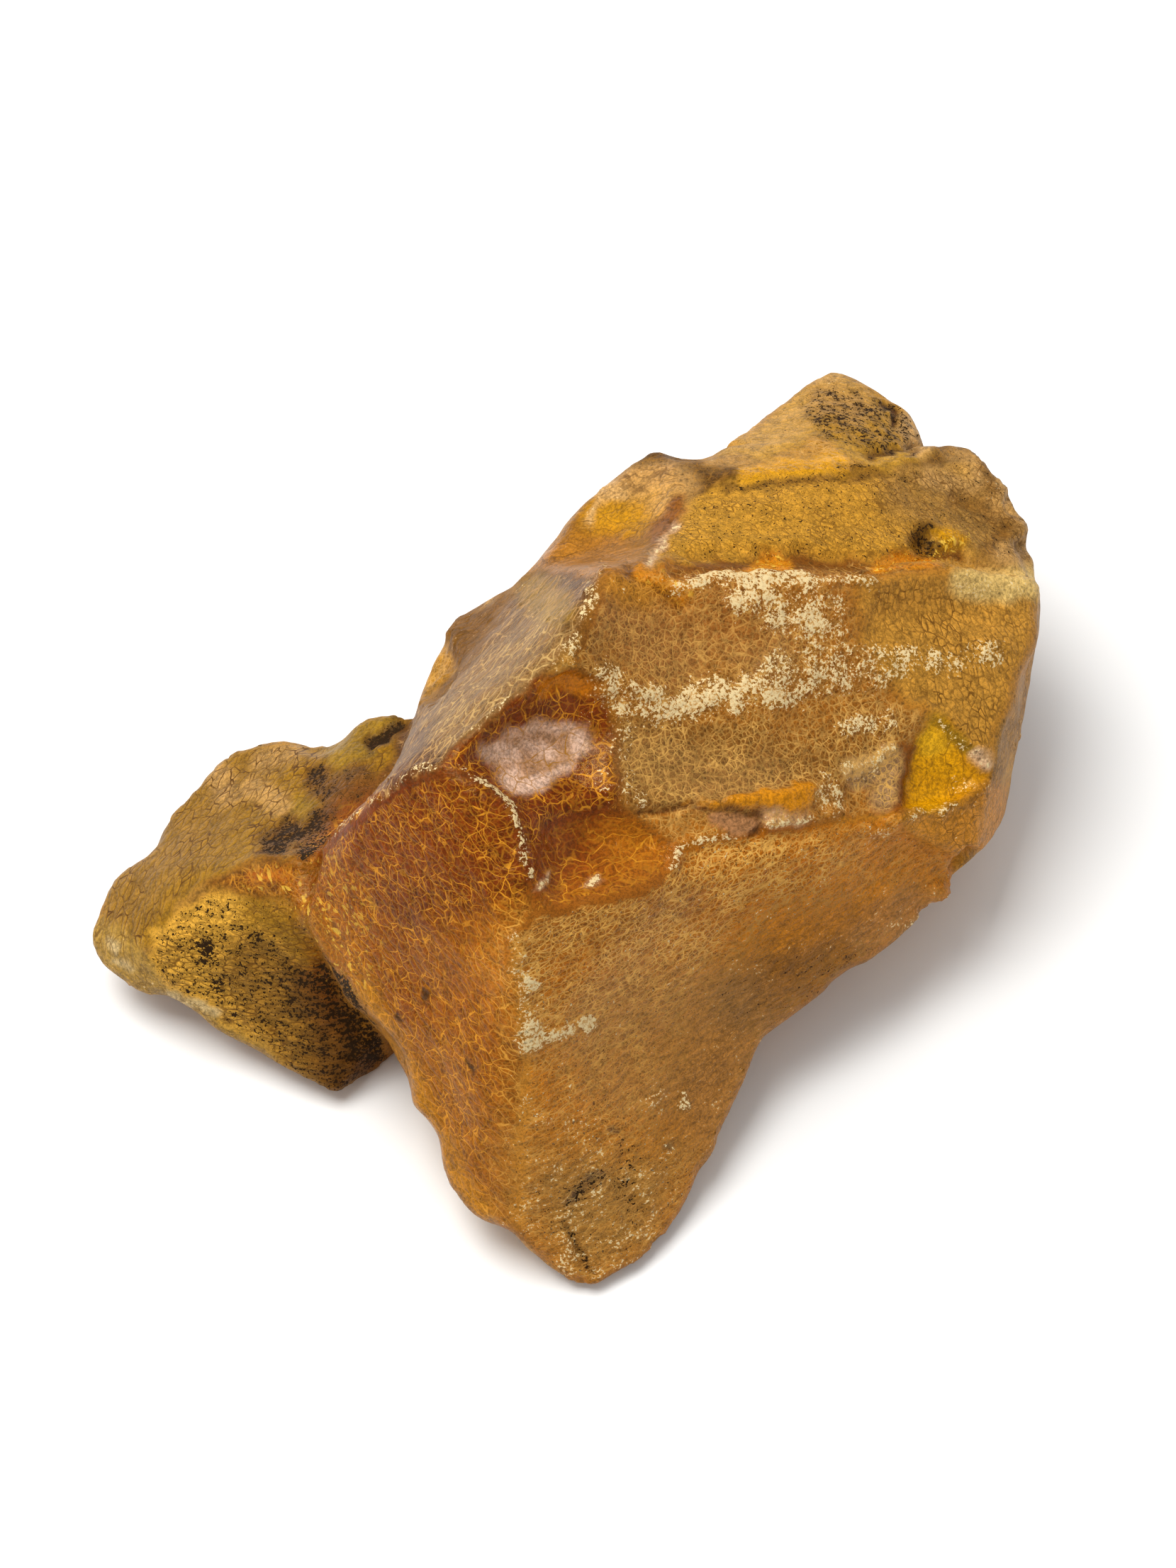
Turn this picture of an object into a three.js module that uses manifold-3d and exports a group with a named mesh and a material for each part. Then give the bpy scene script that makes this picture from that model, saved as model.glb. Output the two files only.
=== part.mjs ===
// A lump of raw copal, 100 mm across: one solid of tree resin with flat and shell-shaped fracture faces.
// Units are millimetres, +Z is up, and the origin is at the bottom centre of the lump's box.
import * as THREE from 'three';
import { ConvexGeometry } from 'three/addons/geometries/ConvexGeometry.js';
import { ImprovedNoise } from 'three/addons/math/ImprovedNoise.js';
import { TessellateModifier } from 'three/addons/modifiers/TessellateModifier.js';
import { mergeVertices } from 'three/addons/utils/BufferGeometryUtils.js';
import Module from 'manifold-3d';

// The lump is laid out on a drawing sheet that leans back from a viewer in front of it.
// A corner is given by its place across and up the sheet, and by its height above the base.
const SIGHT_ELEVATION = THREE.MathUtils.degToRad(55); // how far above the horizon the viewer stands
const SIGHT_DISTANCE = 600; // viewer to the middle of the sheet
const SHEET_HEIGHT = 25; // the middle of the sheet above the base

const LONGEST_EDGE = 5; // of a triangle on the finished surface
const TESSELLATION_PASSES = 12;
const SWELL = { height: 0.8, length: 21 }; // the slow waves that keep fracture faces from being dead flat
const CHATTER = { height: 0.18, length: 7 }; // the short waves that roughen edges
// How deep a hollow is, as a share of its depth, at two shares of the way in from its rim.
const STEEP = [[0.22, 0.42], [0.52, 0.82]];
const GENTLE = [[0.35, 0.22], [0.7, 0.7]];
const CHIP_SEGMENTS = 16; // round each chip's ball
const CUT_REACH = 20; // how far a cutter stands up toward the viewer
const BASE_DEPTH = 3; // material below the flat base before it is cut off
const BASE_BLOCK = 300; // side of the block that keeps what is above the base

const COPAL = { color: 0xb9792c, roughness: 0.38, metalness: 0 };

const sheetMiddle = new THREE.Vector3(0, 0, SHEET_HEIGHT);
const sheetUp = new THREE.Vector3(0, Math.sin(SIGHT_ELEVATION), Math.cos(SIGHT_ELEVATION));
const towardViewer = new THREE.Vector3(0, -Math.cos(SIGHT_ELEVATION), Math.sin(SIGHT_ELEVATION));
const viewer = towardViewer.clone().multiplyScalar(SIGHT_DISTANCE).add(sheetMiddle);

// The point at a height above the base that the viewer sees at a place on the sheet.
function at(across, up, height) {
  const onSheet = sheetMiddle.clone().addScaledVector(sheetUp, up);
  onSheet.x += across;
  const sight = onSheet.sub(viewer);
  return viewer.clone().addScaledVector(sight, (height - viewer.z) / sight.z);
}

// A point by its place on the floor and its height, for the sides that the sheet doesn't show.
function place(x, y, height = -BASE_DEPTH) {
  return new THREE.Vector3(x, y, height);
}

// The main body's lines, from the viewer's left to right or from the top down.
// The crest comes down from the top of the lump to the saddle where the tongue begins.
const crest = [
  at(1.7, 22.5, 46), at(-2.6, 13.2, 46.5), at(-6, 10.1, 46.3), at(-10, 7, 46),
  at(-15.9, 2, 43.8), at(-19.5, 0.7, 40.2), at(-23, -2.6, 35.3), at(-28.1, -7.1, 26.8),
];
// The far edge of the steep left face, from the saddle up.
const farEdge = [
  at(-21.1, 0.9, 33.5), at(-17.7, 7.3, 28.2), at(-16.2, 9.2, 28.3), at(-14, 12.8, 26.6),
  at(-14.2, 15.4, 22), at(-13.4, 17.4, 21.5), at(-10.1, 18.3, 26.2), at(-7.3, 21.5, 28.2),
  at(-6, 22.5, 29.3), at(-0.5, 21.2, 43),
];
// The rim behind the top face.
const rim = [
  at(-2.3, 26.4, 31), at(1, 29.8, 33), at(4.7, 32.6, 34), at(7.6, 34.3, 34),
  at(10.8, 33.7, 35), at(14.1, 34.2, 35), at(19, 34.1, 36), at(23.6, 36.4, 35),
  at(27.6, 34.1, 36), at(31.3, 32.9, 35.5), at(34.9, 34.8, 33.5), at(38.2, 35.4, 31),
  at(40.8, 35, 29.5), at(44.1, 31.3, 28.5), at(46, 27.5, 28), at(45.6, 24, 27.5),
];
// The rim's near side, and the top face's left side.
const topStep = [
  at(9.4, 31.8, 37), at(14.1, 31.2, 37.5), at(24.7, 32.2, 37),
];
const topLeft = [
  at(9.4, 26.5, 38.5), at(6.5, 23.2, 41),
];
// The top face ends in a groove under the edge of the plate, the broad face that falls to the right.
const groove = [
  at(12.8, 23.6, 40), at(22, 23.7, 38.3), at(30, 23.7, 36.2), at(38.6, 24.2, 32.8),
  at(43.6, 23.6, 29.8), at(46.6, 22.4, 27.6),
];
const plateEdge = [
  at(5.4, 23.3, 42.5), at(12.1, 23, 42.8), at(22, 23, 40.6), at(30, 23, 38.4),
  at(38.6, 23.4, 34.8), at(47.2, 21.9, 28.8),
];
const rightEnd = [
  at(47.5, 20.8, 27.5), at(46.8, 14.6, 26.3), at(45.2, 11.8, 25.4), at(42.7, 5.2, 22.6),
  at(41.9, 0.1, 20.8), at(40.9, -5.5, 18), at(40.1, -7.3, 17),
];
// A low band runs across the plate.
const band = [
  at(2.2, 11.3, 42), at(12.1, 6.7, 36.8), at(22, 8.7, 34), at(30.6, 12.6, 32.2),
  at(42.5, 14, 28),
];
const plateLeft = [
  at(3.5, 6.7, 39.8), at(3.5, -1.6, 35.7),
];
// The small ridge between the front face and the bowl below the crest.
const smallRidge = [
  at(-12.6, 1.5, 44.2), at(-10, -0.6, 43.3), at(-8.3, -2.4, 42.3), at(-6.8, -4.5, 41),
  at(-6.3, -7.6, 39.2), at(-6, -10.2, 37.8),
];
// The fold between the plate and the lower right face.
const fold = [
  at(-5.5, -13.6, 35.5), at(0.5, -12.6, 33.3), at(5.4, -11.6, 32.3), at(7.5, -9.9, 31.8),
  at(9.3, -7.3, 31.4), at(12.6, -5.5, 30.7), at(25.3, -3.9, 26.4), at(31.9, -3.2, 24),
];
// The upright edge between the front face and the lower right face.
const uprightEdge = [
  at(-8.6, -16.5, 34), at(-7.6, -19.8, 31), at(-6.6, -23.1, 27.8), at(-6.3, -27.7, 24),
  at(-7, -36.3, 16), at(-7.3, -46, 8),
];
const lowerRight = [
  at(37.9, -9.2, 14.9), at(35.9, -10.9, 14), at(33, -13, 13.4), at(31.7, -16.1, 12.2),
  at(28.6, -19.2, 11.2), at(24.7, -21.7, 11), at(18.3, -26.6, 10.2),
];
const foot = [
  at(16.5, -29.4, 8.8), at(15.8, -31.9, 7.6), at(13.4, -35.5, 5.8), at(10.6, -39.6, 4),
  at(8.4, -43.6, 2.6), at(7.3, -47.8, 1.6), at(5.4, -50.1, 1.2), at(2.3, -51.9, 1),
  at(0.3, -53, 1), at(-2.5, -51.4, 1.6), at(-6.3, -47.5, 4.5),
];
const frontFoot = [
  at(-11.1, -45.2, 7), at(-13.7, -42.9, 7), at(-15, -39.6, 8), at(-16.1, -36.3, 9.5),
  at(-18.1, -33.3, 11), at(-19, -30.6, 13), at(-20.2, -28.4, 14), at(-21.8, -26.1, 15),
  at(-23.5, -23.8, 16), at(-25.3, -21.8, 17), at(-27.2, -19.2, 18), at(-28.6, -17.3, 19),
  at(-29.7, -14.7, 20),
];

// What the main body and its foot stand on, and a belt half way up the far sides.
const stand = [
  place(-18, -12), place(-12, -25), place(7, -20), place(20, -7), place(30, 6), place(37, 20),
  place(33, 34), place(10, 33), place(-6, 24), place(-15, 8),
];
const footStand = [
  place(-12, -25), place(-6, -34), place(2, -38), place(9, -26), place(7, -20), place(-6, -10),
];
const farBelt = [
  place(-20, 12, 11), place(-13, 28, 13), place(5, 38, 16), place(24, 43, 14), place(41, 40, 17),
  place(48, 25, 13), place(45, 7, 9),
];

// Each face of the main body that looks away from the foot, by its corners.
const faces = [
  [...crest.slice(0, 6), ...farEdge], // the steep left face
  [...crest.slice(5), farEdge[0]], // down to the saddle
  [crest[0], farEdge[9], farEdge[8], ...rim.slice(0, 2), topStep[0], topLeft[0], plateEdge[0]], // the far face
  [...rim.slice(1, 10), ...topStep], // the rim's slope
  [...topStep, ...rim.slice(9), ...topLeft, ...groove], // the top face
  [crest[0], ...plateEdge, ...rightEnd.slice(0, 3), ...band, crest[1]], // the plate above the band
  [...band, ...rightEnd.slice(2, 5), ...plateLeft, ...fold.slice(4)], // the plate below the band
  [fold[7], rightEnd[4], rightEnd[5], rightEnd[6], lowerRight[0]], // the plate's right end
  [...crest.slice(1, 5), ...smallRidge.slice(0, 3), plateLeft[0], band[0]], // the bowl's upper part
  [...smallRidge.slice(2), ...fold.slice(0, 5), ...plateLeft], // the bowl's lower part
  [...fold, ...lowerRight, ...uprightEdge.slice(0, 4)], // the lower right face
  [farEdge[1], farEdge[3], farEdge[5], farEdge[7], farBelt[0], farBelt[1]], // the far sides
  [farEdge[7], farEdge[8], rim[0], rim[1], rim[2], farBelt[1], farBelt[2]],
  [rim[2], rim[4], rim[7], rim[9], farBelt[2], farBelt[3]],
  [rim[9], rim[11], rim[12], rim[13], rim[14], farBelt[3], farBelt[4]],
  [rim[14], rim[15], ...rightEnd.slice(0, 3), farBelt[4], farBelt[5]],
  [...rightEnd.slice(2), lowerRight[0], farBelt[5], farBelt[6]],
];
const footFaces = [
  [...crest.slice(4), ...smallRidge, fold[0], ...uprightEdge, ...frontFoot], // the front face
  [...uprightEdge.slice(3), lowerRight[6], ...foot], // the lower right face, toward its tip
];

// The low tongue on the left, with a ridge along it and a bevel below the ridge.
const tongueEdge = [
  at(-52.6, -16.2, 8), at(-50.6, -13.5, 9), at(-50.5, -10.6, 9.5), at(-47.6, -7.7, 10),
  at(-44.8, -5.3, 10.5), at(-42, -0.9, 11), at(-37.9, 3.2, 11.5), at(-34.2, 3.6, 13),
  at(-28.9, 4.3, 15), at(-25.7, 6.4, 15.5), at(-22.6, 7.7, 16), at(-19, 7.9, 17),
];
const tongueLow = [
  at(-50.9, -19.1, 6.5), at(-46.1, -21.4, 5), at(-37.5, -25.3, 4), at(-32.2, -28.4, 3.5),
  at(-28.2, -31.7, 3), at(-26.7, -32.3, 2.5), at(-25.5, -30.6, 3), at(-23.7, -28.1, 4),
  at(-22.4, -26.4, 6),
];
const tongueRidge = [
  at(-46.1, -17, 12), at(-42.7, -12.7, 14.5), at(-40.4, -10.2, 16.5), at(-37, -8.7, 18.5),
  at(-34.2, -7.6, 20.5), at(-30, -7.9, 22.5),
];
const tongueBevel = [
  at(-40.4, -13, 14.5), at(-37, -12.2, 16.5), at(-32, -12.4, 19), at(-29.6, -14.7, 19.5),
];
const tongue = [
  ...tongueEdge, ...tongueLow, ...tongueRidge, ...tongueBevel,
  place(-43, -3), place(-37, -8), place(-30, -12.5), place(-25, -16), place(-16, -14), place(-16, 6),
  place(-27, 9), place(-36, 5), place(-11, 10, 15), place(-12, -8, 20),
];

// The peak that stands out behind the rim.
const peak = [
  at(14.1, 35.5, 33), at(18.7, 39.1, 29), at(22.7, 41.7, 26.5), at(25.3, 43.1, 25.5),
  at(28, 41.6, 25.5), at(31.5, 39.1, 26), at(34.1, 37.9, 26.5), at(35.5, 35.5, 28),
  at(24.7, 40.3, 29), at(31.1, 39, 28.5), at(23.6, 36.4, 35), at(27.6, 34.1, 36),
  at(31.3, 33.1, 35),
];
peak.push(place(14, 38, 6), place(25, 44, 4), place(33, 40, 6), place(39, 40, 20), place(22, 22, 0));

// The lip that overhangs the lower right face at its far end, and the flake that lies along the fold.
const step = [
  at(30, -4.7, 25.3), at(32.3, -3.2, 25), at(38.2, -1, 23.4), at(41.5, 0.1, 21),
  at(40.9, -5.5, 18), at(40.3, -7.3, 17.3), at(38.2, -7.5, 17.8), at(34.6, -6, 21),
];
const flake = [
  at(10.2, -2.2, 33.7), at(15.4, -2.3, 32.4), at(18, -1.1, 32), at(23.5, -0.3, 30),
  at(24, -2.7, 28), at(17.7, -4.7, 29.7), at(12.1, -4.6, 31.9),
];
step.push(at(30, -3, 14), at(38, -1, 12));
flake.push(at(12, -5, 24), at(24, -4, 22));

// The small clear window in the plate, which is sunk below it.
const windowFace = [
  at(36.2, 7.3, 26.4), at(33.3, 4, 25.8), at(32.6, -2.6, 22.8), at(39.9, -1.2, 20.7),
  at(41.5, 0.7, 21),
];

// Which way the faces with hollows look.
const PLATE_LOOKS = new THREE.Vector3(0.4, -0.36, 0.84);
const FAR_LOOKS = new THREE.Vector3(-0.45, 0.3, 0.84);
const TOP_LOOKS = new THREE.Vector3(0.15, 0.1, 0.98);
const BACK_LOOKS = new THREE.Vector3(-0.35, 0.75, 0.56);
const END_LOOKS = new THREE.Vector3(0.98, 0.1, 0.15);

// Each shell-shaped hollow is given by its rim on the face. Two make up the bowl below the crest.
const bowlRim = [
  at(-2.7, 12.8, 46.3), at(-5.9, 9.8, 46.1), at(-9.7, 6.7, 45.7), at(-13.6, 2.6, 44.2),
  at(-9.9, -0.3, 43.3), at(-7, -4.2, 41.1), at(-1.8, -4.7, 38.3), at(3, -1.8, 36.9),
  at(3.4, 6, 39.5), at(2, 10.9, 43),
];
const bowlFoot = [
  at(-7, -4.2, 41.1), at(-6.3, -7.9, 39), at(-5.8, -10.6, 37.3), at(-4.3, -13, 35.3),
  at(0.5, -12.4, 33.7), at(5.2, -11.3, 32.4), at(7.5, -9.6, 31.8), at(9.1, -6.9, 31.5),
  at(7.1, -3.9, 33.9), at(3.2, -1.6, 36.8), at(-1.5, -0.7, 39.6), at(-5.1, -1.8, 41),
];
const farRim = [
  at(-4.8, 22.7, 31.5), at(-2.1, 26.1, 32), at(1.5, 30.1, 33.3), at(8.8, 31.4, 37.1),
  at(9.1, 26.9, 39.1), at(5.9, 23.8, 42), at(2.2, 22.8, 45.2),
];
// On the plate there are two above the band, one below it and one beside the window.
const dipA = [
  at(-0.1, 14.6, 45.4), at(2.7, 20.7, 45.3), at(9.5, 20.4, 43.6), at(16.2, 18.1, 41.3),
  at(19.5, 14.8, 38.2), at(20.6, 10.1, 35.3), at(12.1, 7.5, 37.2), at(3, 11.2, 42.6),
];
const dipC = [
  at(33.9, 21.5, 35.7), at(40.5, 21.8, 32.8), at(46.4, 20.4, 28.8), at(46.5, 15.4, 26.8),
  at(38.6, 14.5, 29.9), at(31.4, 13.6, 32.5), at(28, 15.8, 35),
];
const dipD = [
  at(4.2, 9.2, 40.9), at(12.1, 5.9, 36.3), at(22, 7.7, 33.4), at(30.4, 11.6, 31.9),
  at(34.1, 9.3, 29.2), at(32.7, 5.2, 27.8), at(25.3, 0.6, 28.6), at(17.4, -0.5, 31.4),
  at(10.6, -1.5, 33.5), at(4.4, -1, 36.5), at(3.9, 4, 38.6),
];
const dipE = [
  at(24.4, -2.7, 27.4), at(25.1, 0.1, 28.5), at(28, 2.5, 28.4), at(32.5, 4, 27.3),
  at(32.1, 0.1, 25.5), at(31.3, -2.8, 24.4), at(28, -3.6, 25.4),
];
const pit = [
  at(33.7, 24.9, 34.7), at(34.2, 26.4, 34.4), at(36.2, 26.9, 33.7), at(38.2, 26.3, 32.7),
  at(37.9, 24.7, 33), at(35.6, 24, 33.9),
];

// One is in the back, and one in the broad end.
const backRim = [
  place(-11, 28, 21), place(-3, 30, 29), place(7, 36, 31), place(13, 39.5, 23), place(6, 39.5, 17),
  place(-6, 34, 16),
];
const endRim = [
  place(47.5, 28, 22), place(48.5, 14, 21), place(45.5, 4, 17), place(45.5, 7, 11), place(48.5, 22, 13),
];

const hollows = [
  { rim: bowlRim, deepest: at(-5, 3.5, 40.5), depth: 2.2, looks: PLATE_LOOKS },
  { rim: bowlFoot, deepest: at(-0.5, -6.5, 34.5), depth: 1.8, looks: PLATE_LOOKS },
  { rim: farRim, deepest: at(3, 27, 36.5), depth: 1.6, looks: FAR_LOOKS },
  { rim: dipA, deepest: at(10, 14, 40.4), depth: 1.3, looks: PLATE_LOOKS, bend: GENTLE },
  { rim: dipC, deepest: at(36, 18, 32.6), depth: 0.8, looks: PLATE_LOOKS, bend: GENTLE },
  { rim: dipD, deepest: at(14, 3.5, 34.4), depth: 1.3, looks: PLATE_LOOKS, bend: GENTLE },
  { rim: dipE, deepest: at(28.5, 0, 27.2), depth: 1, looks: PLATE_LOOKS },
  { rim: pit, deepest: at(36, 25.6, 33.8), depth: 1.8, looks: TOP_LOOKS },
  { rim: backRim, deepest: place(1, 36, 22), depth: 2, looks: BACK_LOOKS, opens: BACK_LOOKS },
  { rim: endRim, deepest: place(48, 16, 16), depth: 1.5, looks: END_LOOKS, opens: END_LOOKS },
];

// Chips along the lump's edges: each is a ball that bites into the edge from outside, in a direction on the
// sheet, in degrees anticlockwise from the right.
const chips = [
  { edge: at(11.1, 33.8, 35), outward: 95, radius: 5, bite: 1.1 },
  { edge: at(2.6, 31.2, 33.5), outward: 130, radius: 5, bite: 0.8 },
  { edge: at(42.8, 32.8, 28.8), outward: 40, radius: 4, bite: 0.2 },
  { edge: at(45.8, 23.5, 27.6), outward: 15, radius: 4, bite: 0.9 },
  { edge: at(44.1, 3.4, 21.8), outward: -5, radius: 13, bite: 1.2 },
  { edge: at(35.2, -12.1, 13.8), outward: -50, radius: 5, bite: 0.6 },
  { edge: at(29.4, 41.1, 25.5), outward: 55, radius: 6, bite: 0.8 },
  { edge: at(11, -40.8, 3.4), outward: -30, radius: 9, bite: 0.9 },
  { edge: at(-15.7, 12.2, 27.5), outward: 140, radius: 6, bite: 1.2 },
  { edge: at(-28.4, 4.4, 15), outward: 100, radius: 6, bite: 0.9 },
  { edge: at(-42.4, -23.5, 5), outward: -115, radius: 7, bite: 1.3 },
  { edge: at(-20.7, -29, 14), outward: 200, radius: 9, bite: 1.7 },
  { edge: at(-8.4, 20.7, 27.5), outward: 125, radius: 5, bite: 0.4 },
  { edge: at(-45.3, -6.5, 10.3), outward: 140, radius: 5, bite: 0.3 },
  { edge: at(26.3, -20.4, 11), outward: -50, radius: 6, bite: 0.5 },
  { edge: at(-16, -37.1, 9.5), outward: 200, radius: 7, bite: 0.6 },
];

const wasm = await Module();
wasm.setup();

// A three.js geometry as a manifold-3d solid.
function solidOf(geometry) {
  const bare = geometry.clone();
  bare.deleteAttribute('normal');
  bare.deleteAttribute('uv');
  const merged = mergeVertices(bare, 1e-4);
  return new wasm.Manifold(new wasm.Mesh({
    numProp: 3,
    vertProperties: merged.attributes.position.array,
    triVerts: merged.index.array,
  }));
}

// A manifold-3d solid as a three.js geometry.
function geometryOf(solid) {
  const mesh = solid.getMesh();
  const geometry = new THREE.BufferGeometry();
  geometry.setAttribute('position', new THREE.BufferAttribute(mesh.vertProperties, 3));
  geometry.setIndex(new THREE.BufferAttribute(mesh.triVerts, 1));
  return geometry;
}

function block(corners) {
  return solidOf(new ConvexGeometry(corners));
}


// The cutter that sinks a face straight away from the viewer.
function sunk(corners) {
  const raised = corners.map((corner) => corner.clone().addScaledVector(towardViewer, CUT_REACH));
  return block([...corners, ...raised]);
}

// The cutter for a hollow: from its rim it bends down to its deepest place, as a shell does.
function dish({ rim, deepest, depth, looks, bend = STEEP, opens = towardViewer }) {
  const floor = [deepest.clone().addScaledVector(looks, -depth)];
  for (const corner of rim) {
    for (const [inward, sink] of bend) {
      floor.push(corner.clone().lerp(deepest, inward).addScaledVector(looks, -depth * sink));
    }
  }
  const raised = rim.map((corner) => corner.clone().addScaledVector(opens, CUT_REACH));
  return block([...rim, ...raised, ...floor]);
}

function chip({ edge, outward, radius, bite }) {
  const angle = THREE.MathUtils.degToRad(outward);
  const ball = new THREE.SphereGeometry(radius, CHIP_SEGMENTS, CHIP_SEGMENTS / 2);
  const middle = edge.clone().addScaledVector(sheetUp, Math.sin(angle) * (radius - bite));
  middle.x += Math.cos(angle) * (radius - bite);
  ball.translate(middle.x, middle.y, middle.z);
  return solidOf(ball);
}

const noise = new ImprovedNoise();

// A smooth push in X, Y and Z that depends only on the place, so a closed surface stays closed.
function push(point, { height, length }) {
  const q = point.clone().divideScalar(length);
  return new THREE.Vector3(
    noise.noise(q.x, q.y, q.z),
    noise.noise(q.y + 31, q.z, q.x),
    noise.noise(q.z, q.x + 57, q.y),
  ).multiplyScalar(height * 2);
}

// Moves every corner of a surface by the slow and the short waves.
function weather(geometry) {
  const position = geometry.attributes.position;
  const point = new THREE.Vector3();
  for (let i = 0; i < position.count; i++) {
    point.fromBufferAttribute(position, i);
    point.add(push(point, SWELL).add(push(point, CHATTER)));
    position.setXYZ(i, point.x, point.y, point.z);
  }
}

// The finished surface: blocks joined, hollows cut, edges split, waves added and the base cut flat.
function copalGeometry() {
  const blocks = [
    ...faces.map((face) => [...face, ...stand]),
    ...footFaces.map((face) => [...face, ...footStand]),
    tongue,
    peak,
    step,
    flake,
  ];
  let solid = blocks.map(block).reduce((joined, next) => joined.add(next));
  for (const cutter of [...hollows.map(dish), ...chips.map(chip)]) solid = solid.subtract(cutter);
  solid = solid.subtract(sunk(windowFace));

  const fine = new TessellateModifier(LONGEST_EDGE, TESSELLATION_PASSES).modify(geometryOf(solid));
  weather(fine);
  const aboveBase = new THREE.BoxGeometry(BASE_BLOCK, BASE_BLOCK, BASE_BLOCK);
  aboveBase.translate(0, 0, BASE_BLOCK / 2);
  const geometry = geometryOf(solidOf(fine).intersect(solidOf(aboveBase)));

  geometry.computeBoundingBox();
  const { min, max } = geometry.boundingBox;
  geometry.translate(-(min.x + max.x) / 2, -(min.y + max.y) / 2, -min.z);
  geometry.computeVertexNormals();
  return geometry;
}

const lump = new THREE.Mesh(copalGeometry(), new THREE.MeshStandardMaterial(COPAL));
lump.name = 'copal_lump';

const copal = new THREE.Group();
copal.add(lump);

export default copal;
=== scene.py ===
import math
from dataclasses import dataclass

import bmesh
import bpy
import numpy as np
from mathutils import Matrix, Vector
from mathutils.bvhtree import BVHTree


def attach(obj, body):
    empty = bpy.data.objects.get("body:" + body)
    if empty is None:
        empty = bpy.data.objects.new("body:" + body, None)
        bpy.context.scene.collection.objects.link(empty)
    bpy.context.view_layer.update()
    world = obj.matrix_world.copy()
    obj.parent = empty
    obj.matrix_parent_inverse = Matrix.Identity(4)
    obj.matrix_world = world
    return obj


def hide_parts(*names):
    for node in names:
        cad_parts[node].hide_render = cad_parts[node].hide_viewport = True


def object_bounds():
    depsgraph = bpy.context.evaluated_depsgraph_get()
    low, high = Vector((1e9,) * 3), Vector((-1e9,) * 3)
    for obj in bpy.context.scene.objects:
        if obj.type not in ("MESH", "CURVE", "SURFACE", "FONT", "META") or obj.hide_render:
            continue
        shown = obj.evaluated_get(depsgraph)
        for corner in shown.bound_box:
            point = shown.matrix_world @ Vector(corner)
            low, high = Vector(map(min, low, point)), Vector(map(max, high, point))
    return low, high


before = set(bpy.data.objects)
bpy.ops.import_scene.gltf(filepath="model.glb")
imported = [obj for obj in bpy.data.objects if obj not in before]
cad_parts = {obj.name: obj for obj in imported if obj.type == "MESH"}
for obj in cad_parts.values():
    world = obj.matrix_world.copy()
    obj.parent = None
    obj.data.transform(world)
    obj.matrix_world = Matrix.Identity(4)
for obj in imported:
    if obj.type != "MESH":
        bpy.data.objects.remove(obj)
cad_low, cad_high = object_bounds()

# ---- sizes, in millimetres

MM = 0.001
NODE = "copal_lump"
PIECE = "raw_copal"
TINY = 1e-9

# The camera looks along +Y, down on the lump. The sheet is the plane through the lump that faces the camera,
# and the marks below are drawn on it.
EYE_ELEVATION = math.radians(55)
EYE_DISTANCE = 600.0
SHEET_MIDDLE = np.array([2.326, -4.059, 25.0])
SHEET_HEIGHT = 163.85
SHEET_RIGHT = np.array([1.0, 0.0, 0.0])
SHEET_UP = np.array([0.0, math.sin(EYE_ELEVATION), math.cos(EYE_ELEVATION)])
TOWARD_EYE = np.array([0.0, -math.cos(EYE_ELEVATION), math.sin(EYE_ELEVATION)])
EYE = SHEET_MIDDLE + EYE_DISTANCE * TOWARD_EYE
SENSOR_HEIGHT = 36.0
NEAREST_SEEN = 10.0

FINE_PITCH = 0.505
SMOOTH_STEPS = 8
SMOOTH_SHARE = 0.6
EDGE_KEPT = 0.03
EDGE_SMOOTHED = 0.04
OFF_SKIN = 0.3

# The marks are drawn in the pixels of an enlargement of a part of the photograph.
MARKS_CORNER = (100, 480)
MARKS_ZOOM = 1.12
PHOTO_MIDDLE = (829.5, 1106)
PHOTO_HEIGHT = 2212


# ---- camera, floor and light

FLOOR_METRES = 8
FLOOR_COLOUR = (0.86, 0.86, 0.86, 1)
FLOOR_ROUGHNESS = 0.7
KEY_PLACE = Vector((-0.30, 0.10, 0.85))
KEY_AIM = Vector((0, 0, 0.02))
KEY_METRES = 0.6
KEY_WATTS = 9.0
KEY_COLOUR = (1.0, 0.99, 0.96)
ROOM_STRENGTH = 0.6


def add_object(name, data):
    added = bpy.data.objects.new(name, data)
    bpy.context.scene.collection.objects.link(added)
    return added


def make_camera():
    data = bpy.data.cameras.new("camera")
    data.sensor_fit = "VERTICAL"
    data.sensor_height = SENSOR_HEIGHT
    data.sensor_width = SENSOR_HEIGHT
    data.lens = SENSOR_HEIGHT * EYE_DISTANCE / SHEET_HEIGHT
    data.clip_start = NEAREST_SEEN * MM
    camera = add_object("camera", data)
    camera.location = Vector(EYE * MM)
    camera.rotation_euler = (math.pi / 2 - EYE_ELEVATION, 0, 0)
    bpy.context.scene.camera = camera


def make_floor():
    bpy.ops.mesh.primitive_plane_add(size=FLOOR_METRES)
    floor = bpy.context.object
    floor.name = "floor"
    material = bpy.data.materials.new("pale_floor")
    material.use_nodes = True
    shader = material.node_tree.nodes["Principled BSDF"]
    shader.inputs["Base Color"].default_value = FLOOR_COLOUR
    shader.inputs["Roughness"].default_value = FLOOR_ROUGHNESS
    floor.data.materials.append(material)


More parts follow.
